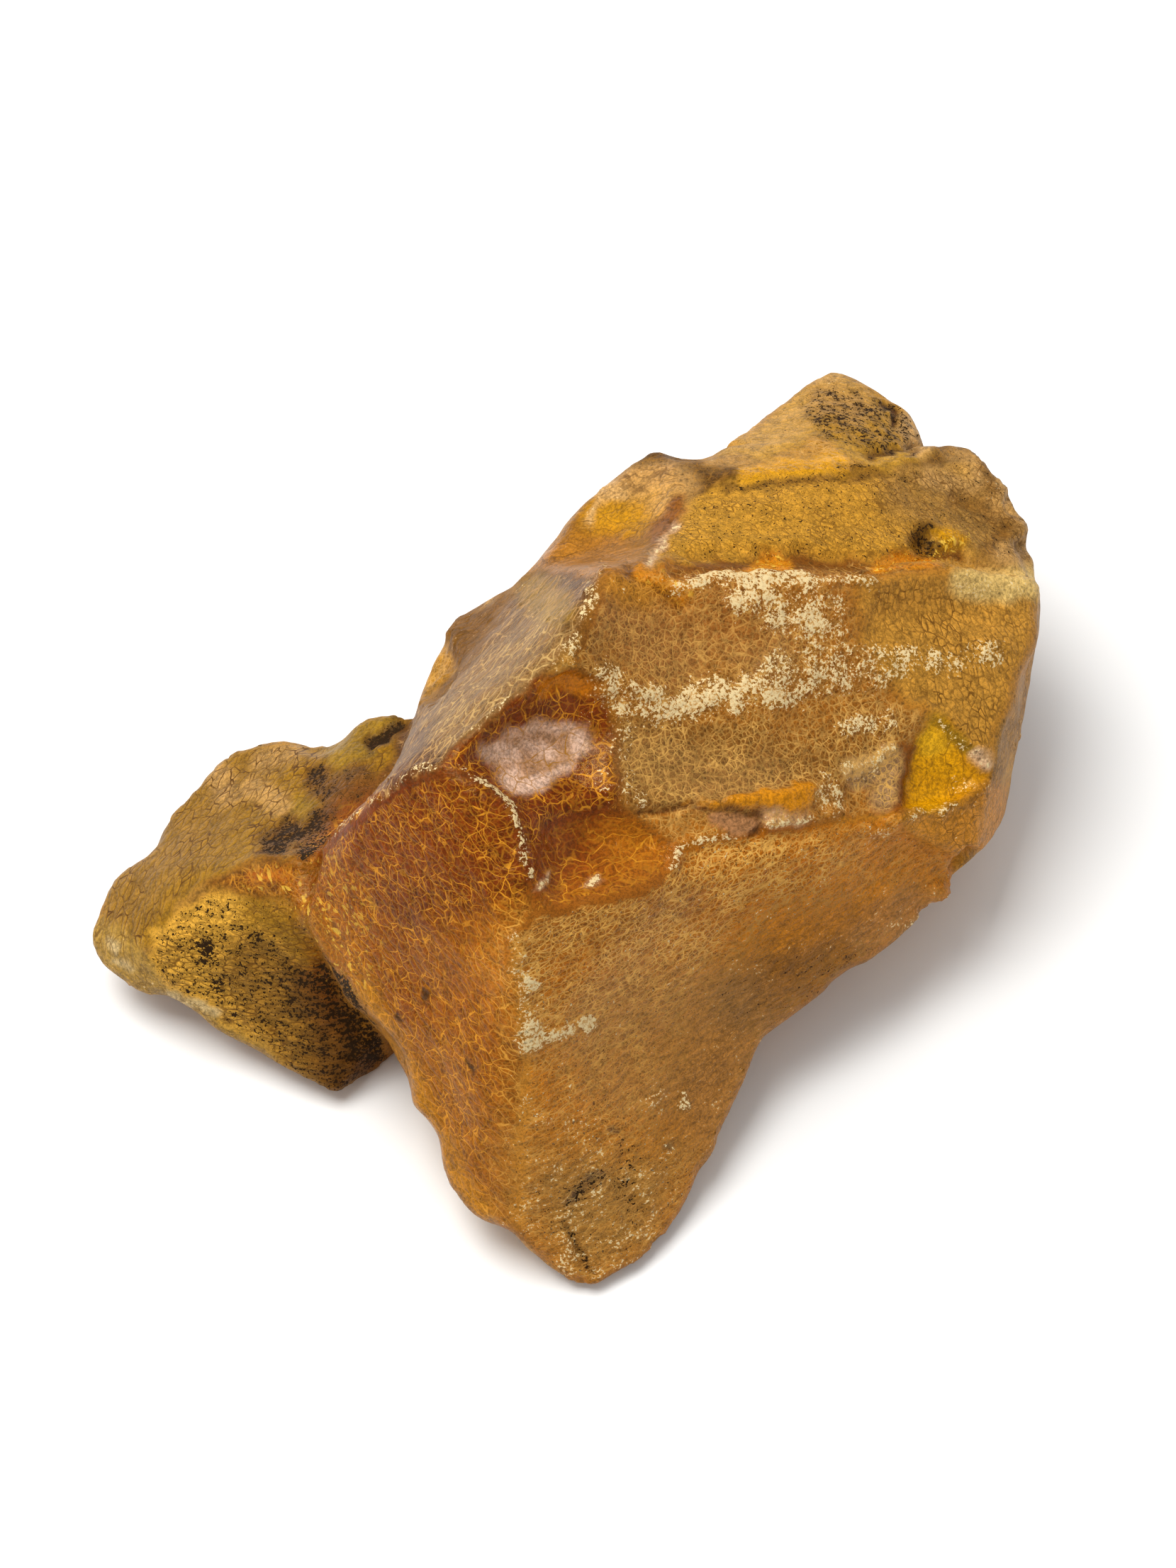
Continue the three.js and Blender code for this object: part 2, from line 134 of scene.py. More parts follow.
def make_light():
    data = bpy.data.lights.new("key", "AREA")
    data.shape = "SQUARE"
    data.size = KEY_METRES
    data.energy = KEY_WATTS
    data.color = KEY_COLOUR
    key = add_object("key", data)
    key.location = KEY_PLACE
    key.rotation_euler = (KEY_AIM - KEY_PLACE).to_track_quat("-Z", "Y").to_euler()
    world = bpy.data.worlds.new("soft_room")
    world.use_nodes = True
    background = world.node_tree.nodes["Background"]
    background.inputs["Color"].default_value = (1, 1, 1, 1)
    background.inputs["Strength"].default_value = ROOM_STRENGTH
    bpy.context.scene.world = world
    bpy.context.scene.view_settings.view_transform = "Standard"


# ---- smooth noise, the same at each run

FULL_SWING = 1.6
LAYER_SHIFT = 17.3


class Noise:
    """Perlin's noise on any number of points at once, from about -1 to 1."""

    def __init__(self, seed):
        source = np.random.default_rng(seed)
        self.order = np.tile(source.permutation(256), 2)
        slopes = source.normal(size=(256, 3))
        self.slopes = slopes / np.linalg.norm(slopes, axis=1)[:, None]

    def at(self, points, wavelength):
        p = points / wavelength
        cell = np.floor(p).astype(int)
        part = p - cell
        cell &= 255
        ease = part ** 3 * (part * (part * 6 - 15) + 10)
        total = np.zeros(len(p))
        for corner in np.ndindex(2, 2, 2):
            offset = np.array(corner)
            x, y, z = ((cell + offset) & 255).T
            slope = self.slopes[self.order[self.order[self.order[x] + y] + z]]
            share = np.where(offset == 1, ease, 1 - ease).prod(axis=1)
            total += share * ((part - offset) * slope).sum(axis=1)
        return FULL_SWING * total

    def layered(self, points, wavelength, layers=3):
        total = np.zeros(len(points))
        for layer in range(layers):
            total += self.at(points + LAYER_SHIFT * layer, wavelength / 2 ** layer) / 2 ** layer
        return total


def smoothstep(low, high, value):
    t = np.clip((value - low) / (high - low), 0, 1)
    return t * t * (3 - 2 * t)


# ---- the fine mesh

def read(items, name, width, kind):
    """One property of all the items of a mesh, as an array of that width."""
    values = np.empty(len(items) * width, kind)
    items.foreach_get(name, values)
    return values.reshape(-1, width)


class Lump:
    """The lump's fine mesh as arrays: points in millimetres, four-sided faces, and the edges between them."""

    def __init__(self, mesh):
        self.points = read(mesh.vertices, "co", 3, float) / MM
        self.faces = read(mesh.polygons, "vertices", 4, int)
        one, other = read(mesh.edges, "vertices", 2, int).T
        self.starts = np.concatenate([one, other])
        self.ends = np.concatenate([other, one])

    def mean_round(self, values, weights=None):
        """The mean of each point's neighbours."""
        if weights is None:
            weights = np.ones(len(self.starts))
        count = len(self.points)
        total = np.bincount(self.starts, weights, count)
        columns = values.reshape(count, -1).T
        sums = [np.bincount(self.starts, weights * column[self.ends], count) for column in columns]
        return (np.array(sums) / np.maximum(total, TINY)).T.reshape(values.shape)

    def spread(self, values, steps):
        for _ in range(steps):
            values = 0.5 * values + 0.5 * self.mean_round(values)
        return values

    def normals(self):
        a, b, c, d = (self.points[self.faces[:, k]] for k in range(4))
        face = np.cross(c - a, d - b)
        total = np.zeros_like(self.points)
        for k in range(4):
            for axis in range(3):
                total[:, axis] += np.bincount(self.faces[:, k], face[:, axis], len(self.points))
        return total / np.maximum(np.linalg.norm(total, axis=1), TINY)[:, None]


def fine_copy(node):
    """A copy of the CAD lump with its faces at the fine pitch."""
    piece = add_object(PIECE, node.data.copy())
    remesh = piece.modifiers.new("fine", "REMESH")
    remesh.mode = "VOXEL"
    remesh.voxel_size = FINE_PITCH * MM
    seen = piece.evaluated_get(bpy.context.evaluated_depsgraph_get())
    mesh = bpy.data.meshes.new_from_object(seen)
    piece.modifiers.clear()
    piece.data = mesh
    mesh.name = PIECE
    drop_crumbs(mesh)
    return piece


def drop_crumbs(mesh):
    """Keeps the body that holds the highest point, because the remesh can leave crumbs of a few faces."""
    shape = bmesh.new()
    shape.from_mesh(mesh)
    fresh = [max(shape.verts, key=lambda point: point.co.z)]
    body = set(fresh)
    while fresh:
        fresh = {edge.other_vert(point) for point in fresh for edge in point.link_edges} - body
        body |= fresh
    bmesh.ops.delete(shape, geom=[point for point in shape.verts if point not in body], context="VERTS")
    shape.to_mesh(mesh)
    shape.free()


def even_out(lump):
    """Smooths the flats and leaves the edges between them."""
    for _ in range(SMOOTH_STEPS):
        normals = lump.normals()
        likeness = (normals[lump.starts] * normals[lump.ends]).sum(axis=1)
        weights = np.exp(-((1 - likeness) / EDGE_KEPT)) + EDGE_SMOOTHED
        lump.points += SMOOTH_SHARE * (lump.mean_round(lump.points, weights) - lump.points)


# ---- the marks' frame

def to_sheet(points):
    """Where the eye sees points on the sheet, in millimetres right and up of its middle."""
    away = points - EYE
    depth = -(away @ TOWARD_EYE)
    return np.stack([away @ SHEET_RIGHT, away @ SHEET_UP], axis=1) * (EYE_DISTANCE / depth)[:, None]


def on_sheet(pixels):
    """Pixels of the enlargement as places on the sheet."""
    p = np.array(pixels, float) / MARKS_ZOOM + MARKS_CORNER
    return (p - PHOTO_MIDDLE) * (1, -1) / (PHOTO_HEIGHT / SHEET_HEIGHT)


def line_distance(places, line, closed=False):
    """How far each place is from a line through points."""
    if closed:
        line = np.vstack([line, line[:1]])
    nearest = np.full(len(places), np.inf)
    for a, b in zip(line[:-1], line[1:]):
        along = b - a
        t = np.clip(((places - a) @ along) / max(along @ along, TINY), 0, 1)
        nearest = np.minimum(nearest, np.linalg.norm(places - a - t[:, None] * along, axis=1))
    return nearest


def inside(places, outline):
    """Whether each place is within an outline."""
    x, y = places.T
    within = np.zeros(len(places), bool)
    for (x0, y0), (x1, y1) in zip(outline, np.roll(outline, -1, axis=0)):
        crosses = (y0 > y) != (y1 > y)
        rise = y1 - y0 if y1 != y0 else TINY
        within ^= crosses & (x < (x1 - x0) * (y - y0) / rise + x0)
    return within


def seen_by_eye(lump, normals):
    """1 at each point that the eye sees, and 0 at the others."""
    tree = BVHTree.FromPolygons([tuple(p) for p in lump.points], lump.faces.tolist())
    eye = Vector(EYE)
    seen = np.zeros(len(lump.points))
    for k, (point, normal) in enumerate(zip(lump.points, normals)):
        start = Vector(point + OFF_SKIN * normal)
        ray = eye - start
        if ray.dot(Vector(normal)) > 0 and tree.ray_cast(start, ray.normalized())[0] is None:
            seen[k] = 1
    return seen


# ---- what is painted on the skin

# Colours as seen on a screen, 0 to 255.
GOLD = (182, 126, 34)
HONEY = (182, 124, 30)
SKIN = (170, 102, 24)
BROWN = (128, 82, 22)
DUN = (162, 120, 62)
TAN = (165, 117, 12)
OCHRE = (160, 120, 22)
AMBER = (104, 38, 1)
RED_AMBER = (120, 48, 4)
# The orange of painted highlights along the groove and a crack.
ORANGE_HIGHLIGHT = (224, 134, 12)
YELLOW = (230, 162, 8)
STRAW = (216, 166, 98)
MAUVE = (88, 49, 18)
# The pale pink of the bowl's painted reflection.
PAINTED_REFLECTION = (244, 204, 178)
PINKISH = (236, 192, 146)
CREAM = (250, 224, 168)
SOOT = (34, 15, 4)
UMBER = (74, 40, 12)
GLINT = (255, 206, 74)

# The colours of cracks.
GILT = (234, 156, 36)
PALE = (236, 180, 92)
DARK = (92, 54, 8)

CLEAN = dict(speck=0, soot=0, crust=0)

# How far a patch's border strays from its drawn outline, and over what length.
RAGGED = ((0.55, 2.4), (0.28, 0.9))

SEEN_SPREAD = 3
NET_DEPTH = 0.25
NET_BEND = 0.3
NET_BEND_LENGTH = 2.0
OUTER_CELL = 1.15
FLATTEST_VIEW = 0.2

# Where cracks and crust come in patches: the patches' length and the noise between which they fade in.
CRACK_PATCHES = (3.2, -0.5, 0.35)
CRUST_CLUMPS = (2.4, -0.45, 0.45)
LEAST_CRACKS = 0.5
LEAST_CRUST = 0.66
MOST_CRUST = 1.1

# Browner, rougher and sootier towards the bottom, near the ground.
BROWNING_STARTS = 2.5
BROWNING_FULL = 0.4
BROWNING_SHARE = 0.6


def light(screen):
    """A colour as seen on a screen, as the amounts of light that the shader takes."""
    c = np.array(screen) / 255
    return np.where(c <= 0.04045, c / 12.92, ((c + 0.055) / 1.055) ** 2.4)


@dataclass
class Net:
    """A net of cracks: its cells' size, the direction they are stretched along, and its soft edge."""

    cell: float
    toward: tuple = (0, 1)
    stretch: float = 1
    soft: float = 3


# A mark is its outline or its course in the marks' pixels, its width and its soft border in millimetres, its
# tone, how much of it is laid on, and what else it changes. An outline has no width.

def strokes(courses, wide, soft, tone=None, share=1, net=None, **paints):
    return courses, wide, soft, share, net, dict(paints, tone=tone)


def stroke(course, wide, soft, *tone, **more):
    return strokes([course], wide, soft, *tone, **more)


def area(outline, soft, *tone, **more):
    return strokes([outline], None, soft, *tone, **more)


class Coat:
    """What the skin looks like at each point. Each layer is painted over the earlier ones."""

    def __init__(self, lump):
        self.lump = lump
        self.normals = lump.normals()
        self.seen = lump.spread(seen_by_eye(lump, self.normals), SEEN_SPREAD)
        self.places = to_sheet(lump.points)
        for axis, seed in enumerate((11, 12)):
            for amount, length in RAGGED:
                self.places[:, axis] += amount * Noise(seed).at(lump.points, length)
        count = len(lump.points)
        self.tone = np.tile(light(GOLD), (count, 1))
        self.line = np.tile(light(PALE), (count, 1))
        names = "cracks width hairs soot crust speck glints rough bump mottle relief"
        self.layers = {name: np.zeros(count) for name in names.split()}
        self.nets = 0
        self.net_number = np.zeros(count, int)
        self.net_place = lump.points / OUTER_CELL
        self.net_cell = np.full(count, OUTER_CELL)

    def cover(self, pixels, wide, soft):
        """1 inside an outline, or along a line where it has a width, falling to 0 over its border."""
        line = on_sheet(pixels)
        if wide is None:
            distance = line_distance(self.places, line, closed=True)
            signed = np.where(inside(self.places, line), distance, -distance)
            return smoothstep(-soft / 2, soft / 2, signed) * self.seen
        distance = line_distance(self.places, line)
        return (1 - smoothstep(wide / 2, wide / 2 + soft, distance)) * self.seen

    def draw(self, marks):
        """Paints marks, each over the earlier ones."""
        for courses, wide, soft, share, net, paints in marks.values():
            for pixels in courses:
                self.paint(share * self.cover(pixels, wide, soft), **paints)
                if net:
                    self.lay_net(self.cover(pixels, None, net.soft), net)

    def paint(self, share, tone=None, line=None, **amounts):
        if tone is not None:
            self.tone += share[:, None] * (light(tone) - self.tone)
        if line is not None:
            self.line += share[:, None] * (light(line) - self.line)
        for name, amount in amounts.items():
            self.layers[name] += share * (amount - self.layers[name])

    def lay_net(self, share, net):
        """Lays a crack net flat on the skin of a face, in cells that are stretched along a direction."""
        normal = (self.normals * share[:, None]).sum(axis=0)
        normal /= max(np.linalg.norm(normal), TINY)
        flat = net.toward[0] * SHEET_RIGHT + net.toward[1] * SHEET_UP
        along = flat - TOWARD_EYE * (flat @ normal) / max(TOWARD_EYE @ normal, FLATTEST_VIEW)
        along /= np.linalg.norm(along)
        across = np.cross(normal, along)
        axes = np.stack([along / net.stretch, across, NET_DEPTH * normal]) / net.cell
        chosen = share > 0.5
        self.nets += 1
        self.net_number[chosen] = self.nets
        self.net_place[chosen] = self.lump.points[chosen] @ axes.T
        self.net_cell[chosen] = net.cell

    def patches(self, seed, length, begins, full):
        """1 in patches of about that length all round the lump, falling to 0 between them."""
        return smoothstep(begins, full, Noise(seed).layered(self.lump.points, length))

    def settle_nets(self):
        """Bends the nets' lines a little, and fades the cracks where one net meets another."""
        points = self.lump.points
        for axis, seed in enumerate((51, 52, 53)):
            self.net_place[:, axis] += NET_BEND * Noise(seed).layered(points, NET_BEND_LENGTH, 2)
        meets = self.net_number[self.lump.starts] != self.net_number[self.lump.ends]
        border = np.bincount(self.lump.starts, meets, len(points)) > 0
        self.calm = 1.0 - border
        cracked = self.patches(54, *CRACK_PATCHES)
        self.layers["cracks"] *= self.calm * (LEAST_CRACKS + (1 - LEAST_CRACKS) * cracked)
        self.layers["bump"] *= self.calm
        clumps = self.patches(55, *CRUST_CLUMPS)
        self.layers["crust"] *= LEAST_CRUST + (MOST_CRUST - LEAST_CRUST) * clumps
        self.calm *= self.layers["mottle"]


# ---- the tongue, low on the left

TONGUE_TOP = ((10, 950), (52, 905), (54, 862), (98, 818), (182, 714), (244, 645), (380, 630), (428, 598),
    (540, 575), (520, 640), (470, 720), (415, 800), (364, 821), (300, 816), (257, 833), (206, 855),
    (171, 893), (120, 958), (90, 1000))
TONGUE_LOW = ((128, 936), (181, 896), (230, 876), (289, 872), (340, 888), (376, 923), (405, 975), (417, 997),
    (484, 1098), (500, 1120), (470, 1150), (440, 1190), (405, 1190), (363, 1165), (296, 1111), (235, 1077),
    (222, 1050), (155, 1024), (128, 977))
TONGUE_BEVEL = ((206, 860), (257, 838), (300, 822), (364, 826), (400, 850), (430, 930), (440, 1000),
    (415, 990), (382, 920), (340, 885), (257, 872))

TONGUE = dict(
    top=area(TONGUE_TOP, 0.8, TAN, net=Net(0.95, (0.5, 0.87), 2), line=DARK, cracks=0.8, rough=0.38,
        speck=0.4, soot=0, crust=0, hairs=0.1),
    outer_side=stroke(((40, 930), (110, 830), (200, 720), (250, 660)), 4, 5, DUN, 0.25, hairs=0.6),
    ochre_spots=strokes((((425, 655), (455, 640)), ((375, 742), (405, 748)), ((465, 605), (500, 598))), 1.6,
        2, OCHRE, cracks=0.2),
    pale_scuffs=strokes((((307, 662), (345, 648)), ((224, 680), (236, 690), (244, 717)), ((286, 705),
        (330, 735))), 0.9, 1.6, STRAW, 0.6, crust=0.35),
    upper_soot=stroke(((390, 690), (410, 712), (438, 700)), 1.2, 2, BROWN, soot=0.95),
    middle_soot=stroke(((318, 800), (345, 776), (372, 778), (400, 758), (380, 800)), 1.2, 2, BROWN, soot=1),
    faint_soot=stroke(((430, 722), (455, 700), (440, 755)), 2.2, 2.4, BROWN, soot=0.65),
    soot_line=stroke(((470, 636), (490, 628), (518, 606)), 0.5, 1.2, UMBER, soot=1.1),
    rim=stroke(((50, 960), (100, 1010), (170, 1050), (235, 1090), (300, 1130), (360, 1175)), 4, 2,
        (184, 142, 58), line=DARK, cracks=0.5, speck=0.2, crust=0.3),
    low=area(TONGUE_LOW, 0.8, (232, 172, 60), net=Net(0.6, (1, -0.12), 2.4), line=DARK, cracks=0.6,
        rough=0.5, speck=1.2, soot=0.7, crust=0, hairs=0.3),
    sooty_corner=stroke(((410, 1020), (445, 1100), (440, 1160)), 4, 5, (96, 54, 14), soot=1.15),
    soot_spots=strokes((((208, 958), (212, 970)), ((289, 932), (292, 944)), ((326, 1020), (336, 1026)),
        ((226, 1017), (236, 1020))), 0.2, 1, soot=1.2),
    sooty_side=stroke(((300, 1000), (380, 1100), (400, 1160)), 4, 5, BROWN, 0.7, soot=0.7),
    clean_band=stroke(((300, 895), (350, 915), (380, 960)), 2.4, 2, (166, 118, 24), soot=0.45),
    pale_chips=strokes((((160, 1036), (200, 1050), (232, 1060)), ((60, 950), (72, 962)), ((70, 980),
        (90, 986))), 0.1, 0.7, CREAM, 0.5, soot=0, crust=0.7),
    bevel=area(TONGUE_BEVEL, 1.6, (108, 54, 0), net=Net(1.2, (0.55, -0.84), 2.2), line=GILT, cracks=0.5,
        rough=0.4, bump=0.2, **CLEAN),
    bevel_fold=stroke(((290, 845), (340, 850), (395, 885)), 0.3, 1, (168, 84, 8), cracks=0.3),
    bevel_glints=stroke(((345, 870), (385, 905), (420, 960), (445, 1010)), 0.4, 2, glints=0.9, rough=0.16),
    fold_glints=stroke(((290, 850), (340, 850)), 0.4, 1.6, glints=0.6),
)

# ---- the saddle, the peak and the step below it

SADDLE = ((725, 362), (760, 320), (800, 275), (850, 225), (900, 200), (960, 200), (975, 262), (950, 300),
    (920, 350), (880, 362), (830, 372), (790, 372))
TOP_STEP = ((925, 345), (950, 290), (985, 250), (1040, 225), (1190, 213), (1300, 200), (1440, 195),
    (1500, 260), (1525, 362), (1476, 346), (1400, 337), (1270, 345), (1150, 345), (1010, 346))
TOP_RIM = ((860, 225), (900, 170), (960, 160), (1040, 165), (1110, 185), (1180, 190), (1250, 205),
    (1340, 175), (1360, 160), (1430, 155), (1480, 240), (1420, 225), (1290, 205), (1190, 216), (1030, 231),
    (975, 260))
PEAK = ((1020, 180), (1080, 140), (1200, 40), (1260, 80), (1310, 110), (1370, 175), (1300, 200), (1240, 192),
    (1180, 150), (1104, 188))
STEP_FOLD = ((1400, 250), (1440, 262), (1480, 300))
SOOTY_PATCH = ((1200, 112), (1270, 132), (1310, 126))
PEAK_CRACK = ((1285, 100), (1300, 115), (1302, 130))

HEIGHTS = dict(
    rim=area(TOP_RIM, 1.4, (84, 50, 2), line=(196, 136, 50), cracks=0.35, rough=0.55, speck=0.8, soot=0.2,
        crust=0, hairs=0.4),
    pale_rim=stroke(((1010, 190), (1090, 186), (1150, 202)), 0.6, 1.2, (206, 156, 88), 0.7, crust=0.5),
    yellow_rim=stroke(((1070, 216), (1180, 206), (1210, 190)), 1.4, 1.2, YELLOW, rough=0.2),
    step=area(TOP_STEP, 1, (216, 156, 48), net=Net(0.75, (0.8, -0.5), 1.5), line=DARK, cracks=0.5,
        rough=0.46, speck=1.3, soot=0.5, crust=0.12, hairs=0.4),
    dull_corner=stroke(((1330, 235), (1440, 290), (1500, 330)), 3, 4, DUN, 0.7, cracks=0.6, speck=0.4),
    pale_corner=stroke(((1440, 215), (1480, 245)), 1, 1.4, STRAW, crust=0.7),
    step_edge=stroke(((1035, 233), (1100, 228), (1190, 222), (1290, 206)), 0.2, 0.5, UMBER, 0.6, soot=0.8),
    edge_soot=stroke(((1180, 214), (1300, 204)), 1, 1.6, soot=0.6),
    pit_soot=strokes((((1335, 312), (1348, 328)), ((1350, 300), (1374, 312)), ((1345, 326), (1372, 326))),
        0.5, 1.2, (120, 80, 12), soot=0.85),
    # A glossy clear patch beside the pit, painted bright yellow as a highlight.
    pit_highlight=stroke(((1376, 308), (1400, 322), (1388, 334)), 0.6, 1.2, YELLOW, rough=0.14, soot=0,
        mottle=0.4),
    pit_glints=stroke(((1376, 330), (1408, 312)), 0.6, 1.4, glints=0.9),
    pale_scuffs=strokes((((1360, 215), (1400, 232), (1430, 228)), ((1455, 262), (1492, 290)), ((1400, 178),
        (1440, 200)), ((1470, 330), (1515, 350))), 0.8, 1.8, STRAW, 0.7, crust=0.4),
    folds=strokes((STEP_FOLD, ((1440, 200), (1452, 240)), ((1480, 300), (1450, 330))), 0.3, 1.4,
        (140, 92, 24), 0.7),
    saddle=area(SADDLE, 1, (152, 98, 12), net=Net(1.8, (1, 0.1), 2.6), line=DARK, cracks=0.5, mottle=0.8,
        rough=0.26, speck=0.1, soot=0, crust=0.12, hairs=0),
    yellow_saddle=stroke(((850, 280), (935, 262)), 1.6, 3, YELLOW, 0.6),
    pale_saddle=stroke(((890, 225), (960, 225), (945, 260)), 1.6, 2.4, STRAW, 0.6, crust=0.3),
    saddle_foot=stroke(((750, 352), (860, 340)), 2, 3, (172, 110, 26)),
    # Painted shade along the saddle's edge, where a narrow facet turns away.
    saddle_edge_shade=stroke(((928, 312), (948, 278), (958, 262)), 0.8, 1.4, (144, 84, 22)),
    saddle_nick=stroke(((874, 228), (888, 236), (905, 232)), 0.1, 0.4, UMBER, 0.6, soot=0.8),
    pale_nick=stroke(((836, 232), (862, 240)), 0.8, 1.2, STRAW, crust=0.5),
    pale_crack=stroke(((818, 286), (828, 270), (836, 246)), 0.2, 0.5, STRAW, crust=0.6),
    step_start=stroke(((956, 288), (930, 330), (912, 350)), 0.1, 0.6, PINKISH, 0.8, crust=1),
    peak=area(PEAK, 1, (203, 150, 42), line=DARK, cracks=0.2, rough=0.46, speck=0.9, soot=0.35, crust=0.15,
        hairs=0.4),
    pale_top=stroke(((1200, 50), (1190, 85), (1240, 100)), 1.4, 2.4, STRAW, 0.6, crust=0.5, soot=0,
        speck=0.2),
    pale_slope=stroke(((1150, 115), (1100, 150), (1060, 165)), 1.4, 2.4, STRAW, 0.4, crust=0.4, soot=0.1),
    brown_patch=stroke(SOOTY_PATCH, 3, 2.6, BROWN, 0.35),
    sooty_patch=stroke(SOOTY_PATCH, 3, 2.6, soot=0.82),
    pale_side=stroke(((1326, 120), (1345, 160)), 1.2, 1.6, STRAW, crust=0.5),
    crack=stroke(PEAK_CRACK, 0.1, 0.5, UMBER, soot=0.9),
    peak_foot=stroke(((1265, 174), (1340, 169)), 0.1, 0.5, UMBER, 0.8, soot=0.8),
)

# ---- the left face, between the saddle and the front

LEFT_FACE = ((735, 362), (812, 376), (835, 380), (800, 455), (775, 505), (726, 549), (680, 588), (620, 640),
    (560, 690), (500, 735), (440, 790), (396, 818), (430, 765), (470, 715), (498, 680), (520, 615),
    (549, 588), (580, 560), (625, 515), (660, 460), (700, 395))
LEFT_SHELF = ((498, 687), (525, 600), (549, 590), (560, 555), (600, 508), (592, 468), (608, 430), (664, 415),
    (707, 370), (735, 362), (700, 395), (660, 460), (625, 515), (580, 560), (549, 588), (520, 615))
CREST = ((843, 361), (815, 420), (778, 502), (726, 549), (666, 596), (577, 671), (522, 691), (470, 741),
    (392, 809))

LEFT = dict(
    shelf=area(LEFT_SHELF, 1.4, (134, 86, 10), line=DARK, cracks=0.5, rough=0.55, speck=0.8, soot=0.3,
        crust=0.3, hairs=0.3),
    face=area(LEFT_FACE, 1.2, MAUVE, net=Net(0.95, (0.56, 0.83), 2), line=(190, 142, 82), cracks=0.9,
        rough=0.4, speck=0, soot=0, crust=0.1, bump=0.5, hairs=0.15),
    pale_band=stroke(((745, 480), (690, 540), (620, 610)), 3, 4, (166, 120, 62), 0.5, line=(232, 194, 120)),
    ochre_patch=stroke(((735, 398), (765, 420)), 1.6, 2.4, OCHRE, 0.7, crust=0.45),
    brown_side=stroke(((660, 430), (640, 480), (620, 530)), 2, 2.6, BROWN, 0.6, speck=0.8, crust=0.35),
    crest=stroke(CREST, 0.2, 0.9, share=0.5, crust=1.5, rough=0.5),
    upper_crest=stroke(((832, 385), (815, 440), (790, 500)), 0.6, 1.6, crust=0.75),
    low_end=stroke(((470, 741), (392, 809)), 1.4, 1.8, (156, 90, 20), line=GILT, cracks=0.8),
)

# ---- the front face and the two bowls above it

FRONT_FACE = ((392, 812), (470, 748), (530, 700), (577, 690), (630, 690), (666, 715), (691, 738), (715, 769),
    (722, 856), (734, 907), (700, 940), (687, 951), (702, 1000), (717, 1051), (722, 1120), (712, 1250),
    (707, 1400), (650, 1395), (590, 1330), (550, 1230), (500, 1125), (440, 1010), (400, 925), (372, 870))
BOWL = ((560, 690), (620, 640), (690, 580), (740, 535), (800, 520), (838, 560), (852, 600), (872, 650),
    (872, 725), (900, 760), (962, 790), (955, 815), (930, 851), (898, 876), (824, 891), (734, 907),
    (722, 856), (715, 769), (691, 738), (666, 710), (630, 690))
BOWL_LENS = ((735, 556), (765, 530), (805, 523), (832, 548), (822, 562), (780, 554), (745, 564))
BOWL_GLEAM = ((645, 652), (690, 614), (760, 603), (815, 612), (822, 642), (800, 672), (760, 700), (722, 722),
    (700, 712), (672, 690))
SECOND_BOWL = ((745, 775), (800, 745), (860, 742), (905, 765), (955, 790), (950, 812), (925, 848),
    (890, 872), (824, 886), (750, 898), (740, 850))
SMALL_RIDGE = ((605, 672), (635, 690), (666, 710), (691, 738), (710, 769), (718, 800), (722, 845))
GLEAM_SOFT = 1.4
STREAK_SHARE = 0.8

FRONT = dict(
    face=area(FRONT_FACE, 0.9, AMBER, net=Net(1.1, (0.62, -0.78), 1.6, soft=2), line=GILT, cracks=0.68,
        width=0.6, rough=0.28, **CLEAN, hairs=0.1),
    red_top=stroke(((480, 790), (560, 770), (650, 790)), 6, 5, (122, 48, 3), 0.8),
    gold_middle=stroke(((470, 1000), (560, 1040), (600, 1150)), 6, 6, (136, 66, 5), 0.7),
    gold_right=stroke(((640, 980), (660, 1120), (640, 1250)), 5, 6, (152, 80, 7), 0.7),
    gold_foot=stroke(((560, 1180), (640, 1330), (690, 1380)), 5, 6, (150, 85, 10), 0.7),
    left_edge=stroke(((405, 930), (445, 1010), (500, 1115), (560, 1235), (600, 1330), (650, 1385)), 1, 2.4,
        (184, 122, 26), 0.7),
    left_corner=stroke(((388, 860), (420, 900), (440, 960)), 2, 5, (150, 78, 4), 0.8, glints=0.5, rough=0.2),
    bowl=area(BOWL, 0.9, RED_AMBER, net=Net(1.7, soft=0.9), line=GILT, cracks=0.8, mottle=0.8, rough=0.18,
        **CLEAN, bump=0.6, hairs=0),
    second_bowl=area(SECOND_BOWL, 1.6, (138, 64, 5), net=Net(2.4, (1, 0.2), 1.8, soft=1.6), cracks=0.55,
        mottle=0.5, rough=0.14),
    honey_spot=stroke(((880, 790), (915, 820)), 1.6, 4, (176, 104, 12), 0.6, rough=0.12),
    lens=area(BOWL_LENS, 0.7, (204, 118, 10), cracks=0.15, mottle=0.4, rough=0.14),
    # The bowl's gleam is a painted reflection, pale pink with cracks over it.
    gleam=area(BOWL_GLEAM, GLEAM_SOFT, (208, 160, 122), 0.85, line=(170, 116, 44), cracks=0.85, rough=0.14),
)
# Streaks of the bowl's painted reflection: each course and its width.
GLEAM_STREAKS = dict(
    top=(((690, 612), (740, 606), (785, 610)), 0.5),
    right=(((800, 630), (804, 655)), 0.3),
    left=(((656, 650), (676, 648), (694, 654)), 1),
    foot=(((696, 690), (706, 704), (735, 704)), 1),
    foot_end=(((735, 698), (790, 682)), 0.4),
    middle=(((720, 640), (760, 650)), 0.4),
)
BOWL_CHIPS = dict(
    ridge=stroke(SMALL_RIDGE, 0.1, 0.7, crust=1.05, rough=0.5),
    chips=strokes((((816, 857), (834, 852)), ((740, 862), (752, 846))), 0.1, 0.6, PINKISH, crust=1.3),
    dark_dots=strokes((((560, 1030), (563, 1042)), ((630, 1140), (638, 1150)), ((516, 1068), (520, 1074))),
        0.3, 0.4, UMBER, cracks=0),
)

# ---- the large plate, upper right

